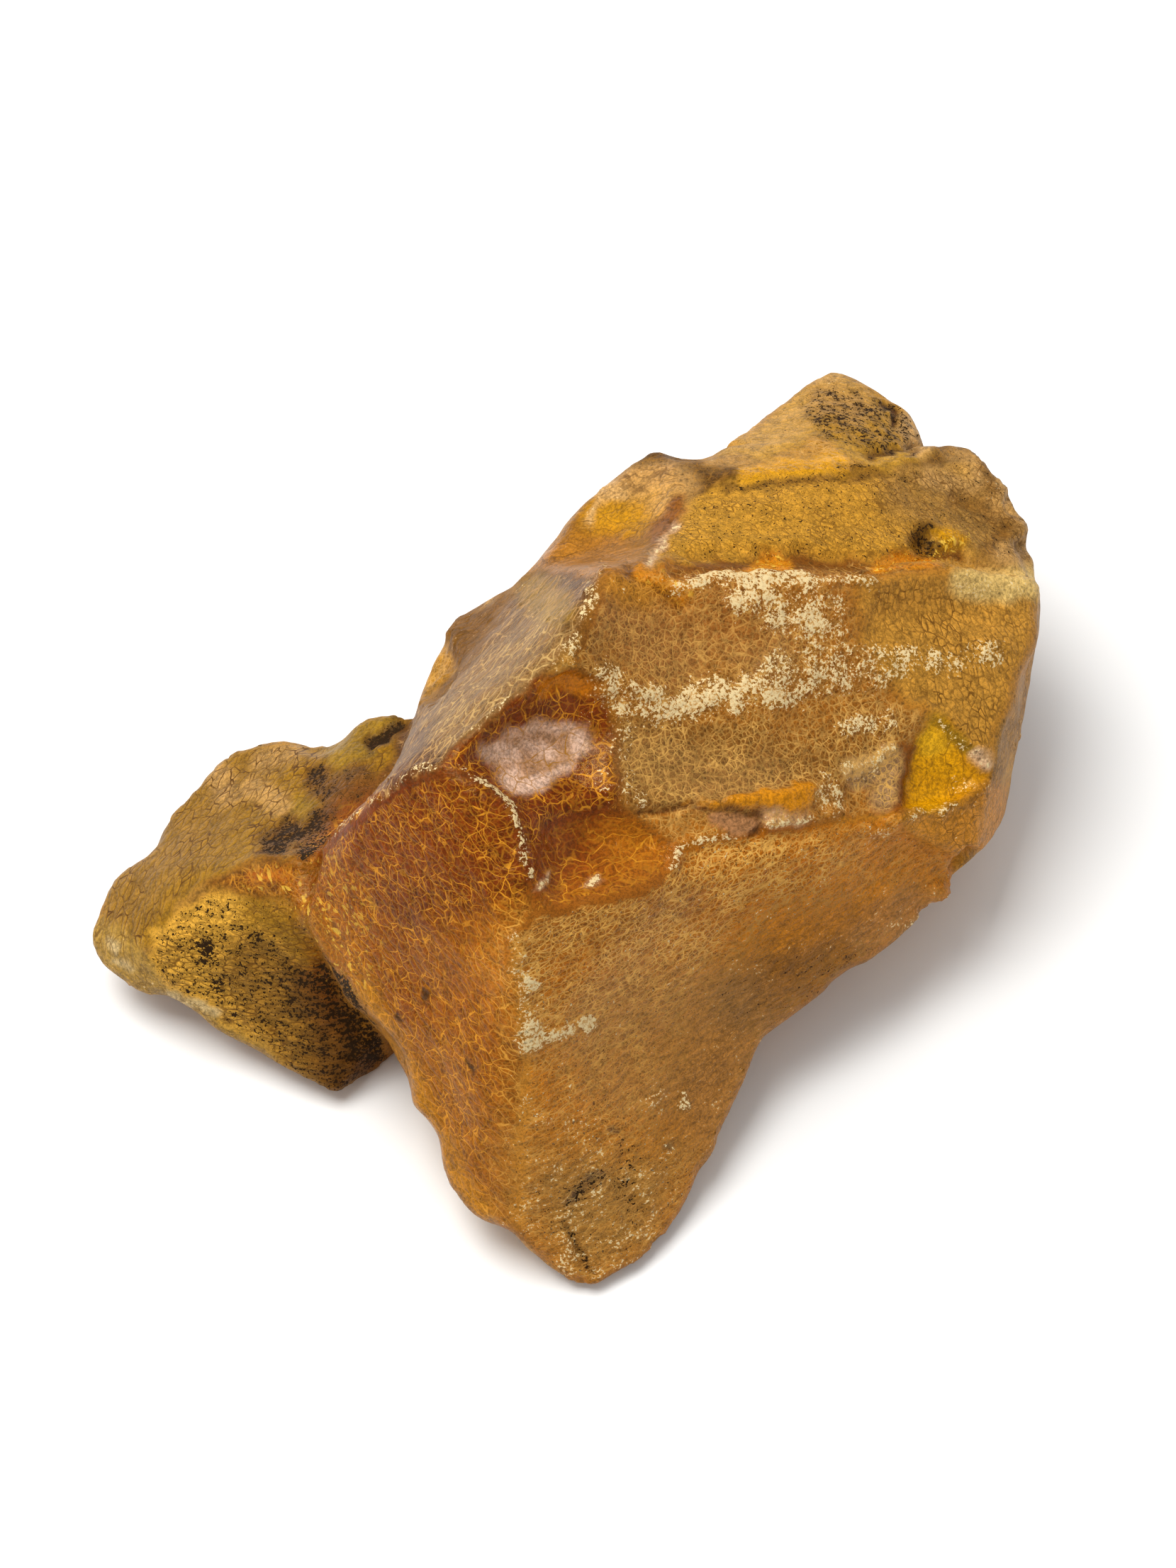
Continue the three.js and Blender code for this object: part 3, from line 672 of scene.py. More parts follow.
PLATE = ((846, 366), (1010, 346), (1270, 345), (1530, 372), (1524, 480), (1462, 622), (1445, 700),
    (1300, 745), (1008, 785), (958, 800), (870, 740), (860, 600), (800, 510))
PLATE_LEFT = ((846, 366), (880, 372), (930, 405), (1000, 450), (1080, 470), (1150, 500), (1100, 540),
    (1010, 580), (880, 560), (845, 535), (800, 510), (815, 440))
PLATE_LOW = ((860, 590), (1000, 605), (1150, 595), (1280, 560), (1335, 600), (1310, 640), (1210, 700),
    (1090, 716), (985, 738), (880, 745), (872, 690))
PLATE_RIGHT = ((1240, 380), (1400, 360), (1530, 375), (1540, 390), (1524, 480), (1500, 522), (1462, 622),
    (1445, 690), (1425, 650), (1365, 590), (1310, 560), (1280, 520), (1250, 470))
SIDE_FACET = ((1300, 752), (1400, 738), (1450, 700), (1478, 705), (1478, 760), (1465, 800), (1400, 828),
    (1345, 800))
WINDOW = ((1365, 588), (1330, 640), (1312, 740), (1350, 742), (1420, 718), (1448, 690), (1420, 640),
    (1395, 605))

PLATE_MARKS = dict(
    whole=area(PLATE, 1.2, SKIN, net=Net(0.95, soft=1.6), line=PALE, cracks=0.5, rough=0.42, speck=0.4,
        soot=0, crust=0.1),
    left=area(PLATE_LEFT, 4, (154, 94, 26), cracks=0.5, rough=0.36, hairs=0.5),
    pale_middle=stroke(((1020, 440), (1100, 490)), 2, 4, (160, 112, 62), 0.6),
    pale_left=stroke(((880, 440), (950, 500)), 3, 4, (146, 98, 52), 0.6),
    # Painted shade, a darker amber, high on the plate.
    plate_top_shade=stroke(((1030, 425), (1060, 440)), 3, 4, (150, 84, 14), 0.6),
    brown_corner=stroke(((800, 460), (825, 490), (836, 508)), 1.4, 2, (118, 72, 20), 0.7),
    low=area(PLATE_LOW, 3, (136, 84, 26), cracks=0.65, rough=0.38, hairs=0.5),
    pale_low=stroke(((900, 660), (1000, 700), (1080, 700)), 2, 4, (154, 110, 58), 0.6),
    warm_low=stroke(((1160, 585), (1260, 575)), 3, 5, (164, 96, 20), 0.6),
    right=area(PLATE_RIGHT, 3, (208, 148, 54), net=Net(0.7, (0.4, -0.92), 1.7, soft=4), line=DARK,
        cracks=0.6, rough=0.44, speck=0.4, hairs=0),
    side_facet=area(SIDE_FACET, 1.6, (216, 142, 42), line=DARK, cracks=0.5, rough=0.42, speck=0.5, soot=0,
        crust=0.3, hairs=0.3),
    window=area(WINDOW, 0.6, YELLOW, net=Net(2, (0.15, 1), 2.2, soft=0.6), line=DARK, cracks=0.4, width=0.7,
        rough=0.12, **CLEAN, bump=0.1, mottle=0.25, hairs=0),
    window_shade=stroke(((1425, 660), (1440, 700), (1400, 725)), 1, 1.6, (178, 112, 14), 0.4),
    window_gleam=stroke(((1366, 604), (1352, 640), (1380, 632)), 1, 1.4, (242, 190, 40), 0.5, cracks=0.2),
    window_side=stroke(((1320, 650), (1306, 735)), 0.8, 1, (140, 76, 12), cracks=0),
    facet=stroke(((1250, 690), (1290, 660), (1285, 720)), 1.2, 1.6, (164, 124, 84), cracks=0.8),
)

# ---- the lower right face, down to the tip

LOWER_RIGHT = ((734, 907), (824, 893), (898, 878), (932, 853), (960, 815), (1008, 788), (1200, 762),
    (1300, 752), (1340, 795), (1400, 822), (1400, 870), (1340, 900), (1290, 960), (1210, 1010), (1100, 1103),
    (1080, 1180), (1000, 1310), (960, 1400), (900, 1470), (820, 1510), (740, 1440), (705, 1396), (712, 1250),
    (722, 1120), (717, 1051), (702, 1000), (687, 951))
LOWER_FAR = ((1100, 900), (1400, 840), (1340, 900), (1210, 1010), (1095, 1103), (1080, 1180),
    (1000, 1310), (900, 1300), (960, 1100))
TIP = ((700, 1270), (1000, 1290), (960, 1340), (945, 1420), (905, 1465), (850, 1480), (820, 1500),
    (790, 1480), (745, 1430), (705, 1396))
UPRIGHT_EDGE = ((705, 945), (703, 1000), (712, 1030), (717, 1051), (722, 1120))
LOWER_EDGE = ((722, 1120), (712, 1250), (707, 1390))
WHOLE_EDGE = UPRIGHT_EDGE + LOWER_EDGE
TIP_STAIN = ((789, 1361), (812, 1340), (834, 1324))

LOWER_MARKS = dict(
    face=area(LOWER_RIGHT, 1, (196, 114, 16), net=Net(0.55, (0.86, 0.5), 2.8, soft=2), line=(242, 182, 88),
        cracks=0.45, width=0.6, rough=0.34, speck=1.1, soot=0, crust=0.34),
    scaly_band=stroke(((730, 980), (860, 940), (1000, 880), (1120, 840)), 6, 6, (180, 100, 10), cracks=1),
    top_shade=stroke(((740, 930), (860, 905), (950, 875)), 2, 4, (138, 84, 30), 0.5, speck=0.9, cracks=0.5),
    far=area(LOWER_FAR, 10, (198, 122, 24), line=DARK, cracks=0.4, speck=0.6, rough=0.42, hairs=0.6),
    # A painted shadow band near the right notch, with soot flecks in it.
    shade_and_soot_band=stroke(((1060, 1030), (1130, 1020), (1210, 985)), 2, 4.6, (128, 84, 36), 0.6, speck=1, soot=0.8),
    far_crust=stroke(((1260, 940), (1340, 890)), 2, 2.4, (178, 122, 66), 0.6, crust=0.55),
    tip=area(TIP, 8, (172, 116, 46), line=PALE, cracks=0.3, rough=0.44, speck=1.4, soot=0.4, crust=0.6,
        hairs=0.4),
    dark_dots=strokes((((722, 1340), (730, 1345)), ((815, 1325), (830, 1320)), ((790, 1356), (805, 1345)),
        ((852, 1250), (860, 1251)), ((940, 1275), (946, 1272))), 0.2, 0.6, (66, 48, 38), 0.9, soot=0.3),
    tip_shade=stroke(TIP_STAIN, 0.2, 1.2, (104, 74, 52), 0.4),
    tip_soot=stroke(TIP_STAIN, 0.2, 1.2, soot=0.85),
    side_soot=stroke(((878, 1275), (882, 1360)), 0.6, 1.6, soot=0.7),
    crust_spots=strokes((((740, 1240), (770, 1250)), ((790, 1232), (830, 1240)), ((850, 1390), (856, 1410)),
        ((905, 1210), (930, 1190))), 0.5, 1.8, crust=0.6),
    pale_middle=stroke(((900, 1120), (1000, 1100), (1050, 1180)), 8, 8, (170, 122, 66), 0.6),
    tip_crack=stroke(((776, 1398), (800, 1430), (828, 1475)), 0.1, 0.5, UMBER, 0.7, soot=1.1),
    small_chip=stroke(((968, 1190), (966, 1210)), 0.1, 0.8, crust=1.4),
    tip_crust=stroke(((780, 1400), (770, 1440), (790, 1460)), 0.8, 1.4, crust=0.8),
    soft_edge=stroke(WHOLE_EDGE, 1, 4.5, (180, 110, 28), 0.5, line=PALE),
    light_edge=stroke(WHOLE_EDGE, 0.3, 1, (206, 138, 48), 0.8, speck=1),
    lower_edge=stroke(LOWER_EDGE, 0.6, 2.4, crust=0.5, speck=1),
    upright_edge=stroke(UPRIGHT_EDGE, 0.3, 1.6, crust=0.9),
    edge_chips=strokes((((722, 1010), (735, 1020)), ((728, 1078), (742, 1086)), ((728, 1112), (748, 1104)),
        ((760, 1098), (785, 1092)), ((815, 1080), (820, 1082))), 0.3, 1, crust=1.6),
)

# ---- pale crust, mostly on the plate

CRUST_TOP = ((965, 378), (1000, 372), (1050, 365), (1100, 370), (1160, 376))
CRUST_BAND = ((850, 545), (905, 574), (960, 576), (1030, 562), (1148, 544), (1250, 518), (1285, 508))
FOLD = ((950, 830), (960, 800), (1000, 790), (1060, 776), (1130, 760), (1200, 748))

CRUST = dict(
    top=stroke(CRUST_TOP, 0.8, 2.2, crust=1.15, rough=0.55),
    top_end=stroke(((1180, 372), (1230, 372), (1275, 385)), 0.4, 1.8, crust=0.85),
    fan=stroke(((1075, 392), (1130, 420), (1180, 440)), 3.6, 2.8, crust=1.05, rough=0.5),
    low_spot=stroke(((1225, 614), (1290, 600)), 0.6, 1.8, crust=0.9),
    band=stroke(CRUST_BAND, 1.2, 3.4, crust=1.1, rough=0.55),
    band_top=stroke(((1120, 522), (1190, 520)), 2, 2.4, crust=0.85),
    band_end=stroke(((1290, 515), (1350, 500), (1400, 508), (1460, 490)), 0.6, 2.2, crust=0.86),
    pale_corner=stroke(((1410, 385), (1520, 385)), 1.4, 1.8, (244, 204, 120), crust=0.6, cracks=0.2),
    by_flake=stroke(((1190, 700), (1205, 745), (1215, 690), (1250, 680)), 0.8, 1.8, crust=0.85),
    facet_edge=stroke(((1225, 680), (1300, 645)), 0.4, 1, STRAW, crust=0.8),
    window_edge=stroke(((1370, 605), (1410, 635), (1425, 650)), 0.3, 0.9, OCHRE, crust=0.7),
    window_chip=stroke(((1435, 655), (1445, 668)), 0.5, 0.8, PINKISH, crust=1),
    fold=stroke(FOLD, 0.2, 0.7, crust=1),
    under_flake=stroke(((1100, 752), (1150, 757)), 0.5, 1.2, PINKISH, 0.5, crust=1.3),
    bowl_edge=stroke(((870, 600), (872, 680), (900, 745)), 0.3, 1.4, crust=0.8),
    bowl_side=stroke(((825, 590), (850, 640), (862, 720)), 1, 2.4, crust=0.55),
    facet_foot=stroke(((1265, 780), (1320, 750), (1390, 735)), 0.3, 1.4, crust=0.75),
    window_foot=stroke(((1380, 700), (1450, 705)), 0.3, 1.4, crust=0.6),
)

# ---- the groove over the plate, and the loose flake

FLAKE_TOP = ((970, 730), (1044, 723), (1118, 715), (1140, 703), (1169, 706), (1174, 726), (1156, 744),
    (1095, 738), (1044, 736))
FLAKE_UNDER = ((1005, 745), (1060, 748), (1090, 756), (1084, 774), (1050, 782), (1010, 768))
FLAKE_LINE = ((900, 744), (970, 735), (1044, 741), (1090, 750), (1092, 766), (1074, 780))
GROOVE = ((960, 362), (1000, 352), (1066, 344), (1140, 343), (1214, 353), (1280, 356), (1339, 349),
    (1406, 337))
# Glossy spots along the groove, painted with orange highlights.
GROOVE_HIGHLIGHTS = (((1080, 350), (1110, 344), (1130, 350)), ((1275, 352), (1320, 345), (1360, 345)))
STEP_CRACK = ((880, 362), (920, 381), (965, 412))

GROOVE_MARKS = dict(
    # The groove's dark line is painted shade in the crease.
    groove=stroke(GROOVE, 0.3, 0.9, (128, 74, 16), crust=0, hairs=0),
    # Painted orange highlights and glints on glossy spots in the groove.
    groove_highlights=strokes(GROOVE_HIGHLIGHTS, 0.4, 0.9, ORANGE_HIGHLIGHT, line=GILT, cracks=0.6, rough=0.12, crust=0),
    groove_glints=strokes(GROOVE_HIGHLIGHTS, 0.2, 1, glints=0.9),
    step_crack=stroke(STEP_CRACK, 0.2, 1, (112, 64, 10), line=GILT),
    # A painted orange highlight with glints along the crack.
    crack_highlight=stroke(((900, 362), (940, 380), (975, 402)), 0.2, 0.8, ORANGE_HIGHLIGHT, 0.8, glints=0.7),
    crack_side=stroke(((862, 390), (900, 404)), 0.8, 2.4, (172, 112, 24), 0.7, line=GILT, crust=0.4),
    flake_top=area(FLAKE_TOP, 0.5, (218, 138, 16), line=GILT, cracks=0.2, rough=0.16, crust=0, speck=0,
        mottle=0.5, hairs=0),
    flake_under=area(FLAKE_UNDER, 0.6, (190, 132, 84), line=DARK, cracks=0.3, rough=0.3, crust=0, hairs=0),
    # A painted shadow under the flake's lip.
    flake_shadow=stroke(FLAKE_LINE, 0.1, 0.5, (92, 44, 8), 0.8, cracks=0, crust=0),
)

# ---- small forms: a line or an outline, its width, its soft border, and how far it rises

FORMS = dict(
    groove=(GROOVE, 0.9, 1.2, -0.9),
    groove_lip=(((940, 340), (1010, 330), (1150, 332), (1270, 335), (1400, 325)), 1.6, 2, 0.35),
    bowl_ridge=(SMALL_RIDGE, 0.3, 1, 0.12),
    step_corner=(((1440, 205), (1475, 240), (1490, 290)), 1.6, 1.6, 0.5),
    step_end=(((1500, 320), (1520, 350)), 1, 1.4, 0.4),
    shelf_knob=(((594, 441), (600, 470)), 1.2, 2, 0.6),
    shelf_dip=(((588, 488), (582, 520), (570, 549)), 1, 1.6, -0.9),
    step_fold=(STEP_FOLD, 0.4, 1.2, -0.4),
    crest=(CREST, 0.3, 1, 0.12),
    fold=(FOLD, 0.4, 1, 0.3),
    facet_fold=(((1200, 748), (1265, 775), (1320, 750), (1390, 735), (1440, 705)), 0.4, 1, 0.35),
    upright_edge=(UPRIGHT_EDGE, 0.5, 1.4, 0.2),
    flake_gap=(FLAKE_LINE, 0.4, 0.6, -0.6),
    flake_lip=(((990, 733), (1050, 732), (1090, 718), (1172, 704)), 0.5, 0.8, 0.3),
    rim_furrow=(((1035, 234), (1100, 229), (1190, 223), (1290, 207)), 0.3, 0.8, -0.35),
    rim_lip=(((1040, 222), (1100, 218), (1190, 212)), 1, 1.4, 0.25),
    tip_crack=(((790, 1416), (812, 1455), (828, 1475)), 0.3, 0.6, -0.45),
    peak_crack=(PEAK_CRACK, 0.3, 0.5, -0.4),
    peak_foot=(((1265, 176), (1340, 171)), 0.4, 0.7, -0.5),
    step_start=(((956, 292), (930, 334), (912, 354)), 0.4, 0.8, -0.4),
    tongue_crack=(((470, 640), (518, 610)), 0.5, 0.8, -0.4),
    saddle_fold=(((850, 285), (935, 300), (940, 320)), 0.5, 1.2, 0.15),
    low_saddle_fold=(((800, 320), (870, 330), (900, 345)), 0.5, 1.2, 0.15),
    tongue_edge=(((171, 893), (206, 858), (257, 836), (300, 819), (364, 823)), 0.4, 0.9, 0.25),
    step_crack=(STEP_CRACK, 0.5, 1, -0.6),
    right_notch=(((1408, 834), (1424, 818)), 0.8, 1.2, -1.6),
    right_knob=(((1400, 866), (1372, 880)), 1, 1.6, 1.7),
    step_nick=(((1484, 262), (1500, 270)), 0.6, 1.2, -0.8),
    low_step_nick=(((1502, 322), (1530, 330)), 0.6, 1.2, -0.8),
    plate_swell=(((860, 430), (960, 470), (1080, 500)), 1, 3, 0.25),
    low_swell=(((900, 640), (1100, 640), (1250, 600)), 1, 3, 0.2),
    plate_dip=(((1300, 420), (1420, 430), (1510, 425)), 1, 2.4, -0.25),
    facet_lip=(((1220, 690), (1300, 648)), 0.5, 0.9, 0.25),
    flake_end=(((1190, 700), (1205, 745)), 0.4, 0.7, 0.2),
    window=(WINDOW, None, 0.5, -0.45),
    flake_top=(FLAKE_TOP, None, 0.6, 0.35),
    flake_under=(FLAKE_UNDER, None, 0.6, -0.3),
    lens=(BOWL_LENS, None, 0.9, -0.5),
)


def paint_all_round(coat):
    """The skin that the photograph doesn't show, and the ground under the marks."""
    everywhere = np.ones(len(coat.lump.points))
    coat.paint(everywhere, line=DARK, cracks=0.5, width=1, mottle=1, rough=0.42, bump=0.7, speck=0.3,
               hairs=0.5)
    coat.paint(coat.patches(21, length=22, begins=-0.35, full=0.45), HONEY)
    coat.paint(0.8 * coat.patches(22, length=16, begins=0.05, full=0.6), BROWN)
    coat.paint(0.6 * coat.patches(23, length=19, begins=0.1, full=0.7), DUN)
    coat.paint(coat.patches(24, length=20, begins=0.1, full=0.3), line=PALE, cracks=0.6)
    coat.paint(coat.patches(25, length=14, begins=0.25, full=0.75), crust=0.6)
    coat.paint(coat.patches(26, length=17, begins=0.2, full=0.8), soot=0.5, speck=0.7)
    # Browner, rougher and sootier towards the bottom.
    near_ground = smoothstep(BROWNING_STARTS, BROWNING_FULL, coat.lump.points[:, 2])
    coat.paint(BROWNING_SHARE * near_ground, BROWN, rough=0.55, soot=0.35)


def paint_marks(coat):
    """Each face's marks, the undermost first."""
    for marks in (TONGUE, HEIGHTS, LEFT, FRONT):
        coat.draw(marks)
    # The painted reflection's pale streaks, laid within the bowl's gleam.
    gleam = STREAK_SHARE * coat.cover(BOWL_GLEAM, None, GLEAM_SOFT)
    for course, wide in GLEAM_STREAKS.values():
        coat.paint(coat.cover(course, wide, 1) * gleam, PAINTED_REFLECTION, cracks=0.5)
    for marks in (BOWL_CHIPS, PLATE_MARKS, LOWER_MARKS, CRUST, GROOVE_MARKS):
        coat.draw(marks)
    for course, wide, soft, rise in FORMS.values():
        coat.layers["relief"] += rise * coat.cover(course, wide, soft)


# ---- relief

SWELL_RISE = 0.16
SWELL_LENGTH = 7.0
ROUGH_RISE = 0.07
ROUGH_LENGTH = 2.6
SMOOTHEST = 0.5
EDGE_SPREAD = 4
CHIP_DEPTH = 0.55
CHIP_LENGTH = 3.4
FLAKE_RISE = 0.22
FLAKE_LENGTH = 1.5
FLAKE_NOISE = 0.5
PIT_DEPTH = 0.16
PIT_LENGTH = 1.8
PIT_NOISE = 0.6
BASE_KEPT = 0.8

# Each thing fades in between two values of the skin's turn, a noise, or an amount with its noise.
SHARP_EDGES = (0.03, 0.16)
CHIPPED = (0.05, 0.7)
FLAKED = (0.6, 0.9)
PITTED = (0.5, 1)


def bulge(lump, normals):
    """How sharply the skin turns at each point: above 0 on an outer edge, below 0 in a crease."""
    out = ((lump.points - lump.mean_round(lump.points)) * normals).sum(axis=1)
    return lump.spread(out, EDGE_SPREAD) / FINE_PITCH


def shape_relief(lump, coat):
    points, normals, layers = lump.points, coat.normals, coat.layers
    rise = SWELL_RISE * Noise(41).layered(points, SWELL_LENGTH)
    rise += ROUGH_RISE * Noise(42).layered(points, ROUGH_LENGTH) * (SMOOTHEST + layers["rough"])
    sharp = smoothstep(*SHARP_EDGES, bulge(lump, normals))
    chips = smoothstep(*CHIPPED, Noise(43).layered(points, CHIP_LENGTH))
    rise -= CHIP_DEPTH * sharp * chips
    crusted = layers["crust"] + FLAKE_NOISE * Noise(44).layered(points, FLAKE_LENGTH)
    rise += FLAKE_RISE * smoothstep(*FLAKED, crusted)
    pitted = layers["soot"] + PIT_NOISE * Noise(45).layered(points, PIT_LENGTH)
    rise -= PIT_DEPTH * smoothstep(*PITTED, pitted)
    rise += layers["relief"]
    above_base = smoothstep(0, BASE_KEPT, points[:, 2])
    raised = points + (rise * above_base)[:, None] * normals
    lump.points = np.clip(raised, np.array(cad_low) / MM, np.array(cad_high) / MM)


# ---- the material

COPAL_IOR = 1.54
COPAL_SHINE = 0.15
COPAL_TINT = (1.0, 0.72, 0.34, 1)
COPAL_CLEAR = 0.3
COPAL_ABSORBS = (0.97, 0.76, 0.14, 1)
COPAL_DENSITY = 60

# Lengths, in millimetres, or in the net's cells for what follows a net.
CRACK_WIDTH = 0.08
HAIR_CELL = 0.7
PATCH_LENGTH = 1.1
GRAIN_LENGTH = 0.34
GLINT_LENGTH = 0.5

# How much of a crack is core, and how many fine cells go into a cell.
CRACK_CORE = 0.25
FINER_NET = 2.1

# Each thing fades in between two values of a noise, or of the distance from a crack.
SHOWN_CRACKS = (0.38, 0.56)
SHADED_PATCHES = (0.3, 0.7)
SHADED_GRAIN = (0.34, 0.66)
SPECKS = (0.58, 0.68)
CREAM_FLAKES = (0.38, 0.56)
GLINTS = (0.59, 0.65)
HAIR_EDGE = (0.03, 0.12)
FINE_EDGE = (0.02, 0.11)
DOME_EDGE = (0, 0.3)
COVER_EDGE = (-0.03, 0.03)

# How much each noise counts in the flecks, what they need to show, and how far an amount eases it.
COVER_PATCHES = 0.5
COVER_GRAIN = 0.8
COVER_NEEDS = 0.95
COVER_EASED = 0.33

# How much each thing counts in the tone.
FAINTEST = 0.3
CRACK_SHARE = 1.4
FINE_SHARE = 0.62
FINE_LOST = 3.5
SPECK_SHARE = 0.8
DARKEST_SHADE = 0.39
PATCH_SHADE = 0.58
GRAIN_SHADE = 0.6

# How much duller each makes the skin, and how far each lifts it in the bump, in millimetres.
CRACK_DULLS = 0.1
CRUST_DULLS = 0.3
SOOT_DULLS = 0.25
GRAIN_DULLS = 0.08
DOME_RISE = 0.06
PATCH_RISE = 0.12
GRAIN_RISE = 0.08


# A mix node's sockets for colours.
MIX_ONE = 6
MIX_OTHER = 7
MIXED = 2


class Graph:
    """A material's nodes, made and joined in one call each."""

    def __init__(self, tree):
        self.tree = tree

    def node(self, kind, inputs=(), **settings):
        made = self.tree.nodes.new("ShaderNode" + kind)
        for name, value in settings.items():
            setattr(made, name, value)
        for name, value in dict(inputs).items():
            self.feed(made.inputs[name], value)
        return made

    def feed(self, socket, value):
        if isinstance(value, bpy.types.NodeSocket):
            self.tree.links.new(value, socket)
        else:
            socket.default_value = value

    def sum(self, operation, *values):
        total = values[0]
        for value in values[1:]:
            total = self.node("Math", {0: total, 1: value}, operation=operation).outputs[0]
        return total

    def times(self, *values):
        return self.sum("MULTIPLY", *values)

    def plus(self, *values):
        return self.sum("ADD", *values)

    def less(self, one, other):
        return self.sum("SUBTRACT", one, other)

    def scaled(self, vector, scale):
        inputs = {"Vector": vector, "Scale": scale}
        return self.node("VectorMath", inputs, operation="SCALE").outputs[0]

    def step(self, value, low, high):
        """0 below low, 1 above high, and smooth between them."""
        inputs = {"Value": value, "From Min": low, "From Max": high}
        return self.node("MapRange", inputs, interpolation_type="SMOOTHSTEP").outputs["Result"]

    def mix(self, share, one, other):
        inputs = {"Factor": share, MIX_ONE: one, MIX_OTHER: other}
        return self.node("Mix", inputs, data_type="RGBA").outputs[MIXED]

    def layer(self, name):
        return self.node("Attribute", attribute_name=name).outputs["Vector"]

    def layer_parts(self, name):
        return self.node("SeparateXYZ", {"Vector": self.layer(name)}).outputs

    def noise(self, place, length, detail, rough=0.6):
        inputs = {"Vector": place, "Scale": 1 / length, "Detail": detail, "Roughness": rough}
        return self.node("TexNoise", inputs).outputs["Fac"]

    def calmed(self, value, calm):
        """A noise value that stays at its middle where calm is 0."""
        return self.plus(0.5, self.times(self.less(value, 0.5), calm))

    def cover(self, amount, patches, grain):
        """Flecks that leave most of the skin bare where the amount is small, and little where it is 1."""
        edge = self.less(COVER_NEEDS, self.times(amount, COVER_EASED))
        flecks = self.plus(self.times(patches, COVER_PATCHES), self.times(grain, COVER_GRAIN))
        return self.step(self.less(flecks, edge), *COVER_EDGE)

    def from_cracks(self, place):
        """How far a place is from the nearest crack of a net whose cells are about 1 wide."""
        inputs = {"Vector": place, "Scale": 1}
        return self.node("TexVoronoi", inputs, feature="DISTANCE_TO_EDGE").outputs["Distance"]


def solid(screen):
    return (*light(screen), 1)


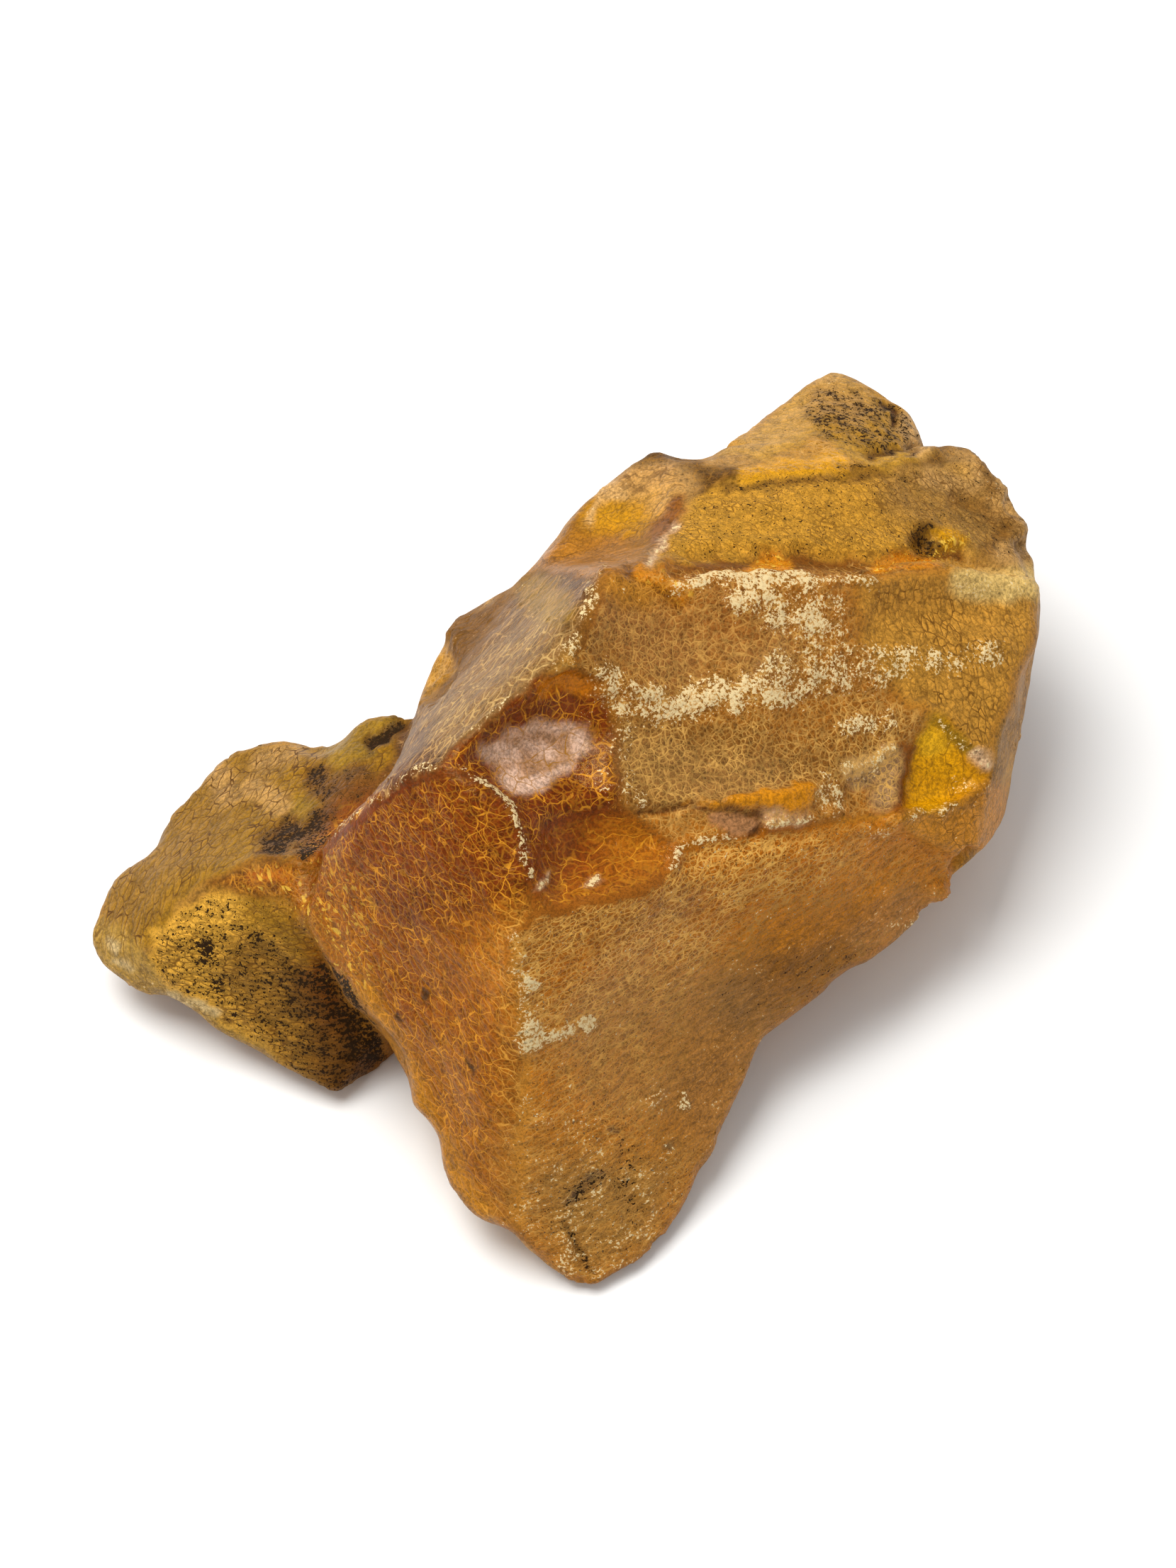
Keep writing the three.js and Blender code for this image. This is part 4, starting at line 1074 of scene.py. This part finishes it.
def make_copal():
    material = bpy.data.materials.new("copal")
    material.use_nodes = True
    material.node_tree.nodes.clear()
    g = Graph(material.node_tree)

    place = g.scaled(g.node("TexCoord").outputs["Object"], 1 / MM)
    net_place = g.layer("net")
    line_tone = g.layer("line")
    cracks, thin, calm = g.layer_parts("look")
    soot, crust, speck = g.layer_parts("dirt")
    rough, bump, hairs = g.layer_parts("skin")
    glints = g.layer_parts("glow")[0]

    from_crack = g.from_cracks(net_place)
    from_hair = g.from_cracks(g.scaled(place, 1 / HAIR_CELL))
    from_fine = g.from_cracks(g.scaled(net_place, FINER_NET))
    patches = g.noise(net_place, PATCH_LENGTH, detail=4, rough=0.66)
    grain = g.noise(place, GRAIN_LENGTH, detail=2, rough=0.7)
    streaks = g.noise(net_place, GLINT_LENGTH, detail=1)
    calm_patches = g.calmed(patches, calm)

    shown = g.plus(FAINTEST, g.times(g.step(patches, *SHOWN_CRACKS), 1 - FAINTEST))
    crack = g.times(g.less(1, g.step(from_crack, g.times(thin, CRACK_CORE), thin)), shown)
    hair = g.times(g.less(1, g.step(from_hair, *HAIR_EDGE)), hairs)
    lines = g.times(g.sum("MAXIMUM", crack, hair), cracks, CRACK_SHARE)
    fine_share = g.less(FINE_SHARE, g.times(thin, FINE_LOST))
    fine_lines = g.times(g.less(1, g.step(from_fine, *FINE_EDGE)), cracks, fine_share)

    shaded_patches = g.times(g.step(calm_patches, *SHADED_PATCHES), PATCH_SHADE)
    shaded_grain = g.times(g.step(grain, *SHADED_GRAIN), GRAIN_SHADE)
    tone = g.scaled(g.layer("tone"), g.plus(DARKEST_SHADE, shaded_patches, shaded_grain))
    tone = g.mix(fine_lines, tone, line_tone)
    tone = g.mix(g.sum("MINIMUM", lines, 1), tone, line_tone)
    tone = g.mix(g.times(g.step(grain, *SPECKS), speck, SPECK_SHARE), tone, solid(UMBER))
    flakes = g.cover(crust, patches, grain)
    flake_tone = g.mix(g.step(grain, *CREAM_FLAKES), solid(STRAW), solid(CREAM))
    tone = g.mix(flakes, tone, flake_tone)
    tone = g.mix(g.times(g.step(streaks, *GLINTS), glints), tone, solid(GLINT))
    sooty = g.cover(soot, g.less(1, patches), grain)
    tone = g.mix(sooty, tone, solid(SOOT))

    dulled = (g.times(crack, CRACK_DULLS), g.times(flakes, CRUST_DULLS), g.times(sooty, SOOT_DULLS))
    shine = g.plus(rough, *dulled, g.times(grain, GRAIN_DULLS))
    domes = g.times(g.step(from_crack, *DOME_EDGE), bump, DOME_RISE)
    height = g.plus(domes, g.times(calm_patches, PATCH_RISE), g.times(grain, GRAIN_RISE))
    relief = g.node("Bump", {"Height": height, "Distance": MM, "Strength": 1})

    shader = g.node("BsdfPrincipled", {
        "Base Color": tone, "Roughness": shine, "Normal": relief.outputs["Normal"],
        "IOR": COPAL_IOR, "Specular IOR Level": COPAL_SHINE, "Specular Tint": COPAL_TINT,
        "Transmission Weight": COPAL_CLEAR})
    absorbs = g.node("VolumeAbsorption", {"Color": COPAL_ABSORBS, "Density": COPAL_DENSITY})
    surface, volume = shader.outputs["BSDF"], absorbs.outputs["Volume"]
    g.node("OutputMaterial", {"Surface": surface, "Volume": volume})
    return material


# ---- the piece

def keep_layer(mesh, name, *values):
    """Stores three numbers for each point on the mesh, for the material to read."""
    layer = mesh.attributes.new(name, "FLOAT_VECTOR", "POINT")
    layer.data.foreach_set("vector", np.column_stack(values).astype(np.float32).ravel())


def build():
    piece = fine_copy(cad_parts[NODE])
    mesh = piece.data
    lump = Lump(mesh)
    even_out(lump)
    coat = Coat(lump)
    paint_all_round(coat)
    paint_marks(coat)
    coat.settle_nets()
    shape_relief(lump, coat)
    mesh.vertices.foreach_set("co", (lump.points * MM).ravel())
    layers = coat.layers
    keep_layer(mesh, "tone", coat.tone)
    keep_layer(mesh, "net", coat.net_place)
    keep_layer(mesh, "line", coat.line)
    keep_layer(mesh, "look", layers["cracks"], CRACK_WIDTH * layers["width"] / coat.net_cell, coat.calm)
    keep_layer(mesh, "dirt", layers["soot"], layers["crust"], layers["speck"])
    keep_layer(mesh, "skin", layers["rough"], layers["bump"], layers["hairs"])
    keep_layer(mesh, "glow", *[layers["glints"]] * 3)
    mesh.update()
    mesh.shade_smooth()
    mesh.materials.clear()
    mesh.materials.append(make_copal())
    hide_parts(NODE)
    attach(piece, "root")


make_camera()
make_floor()
make_light()
build()
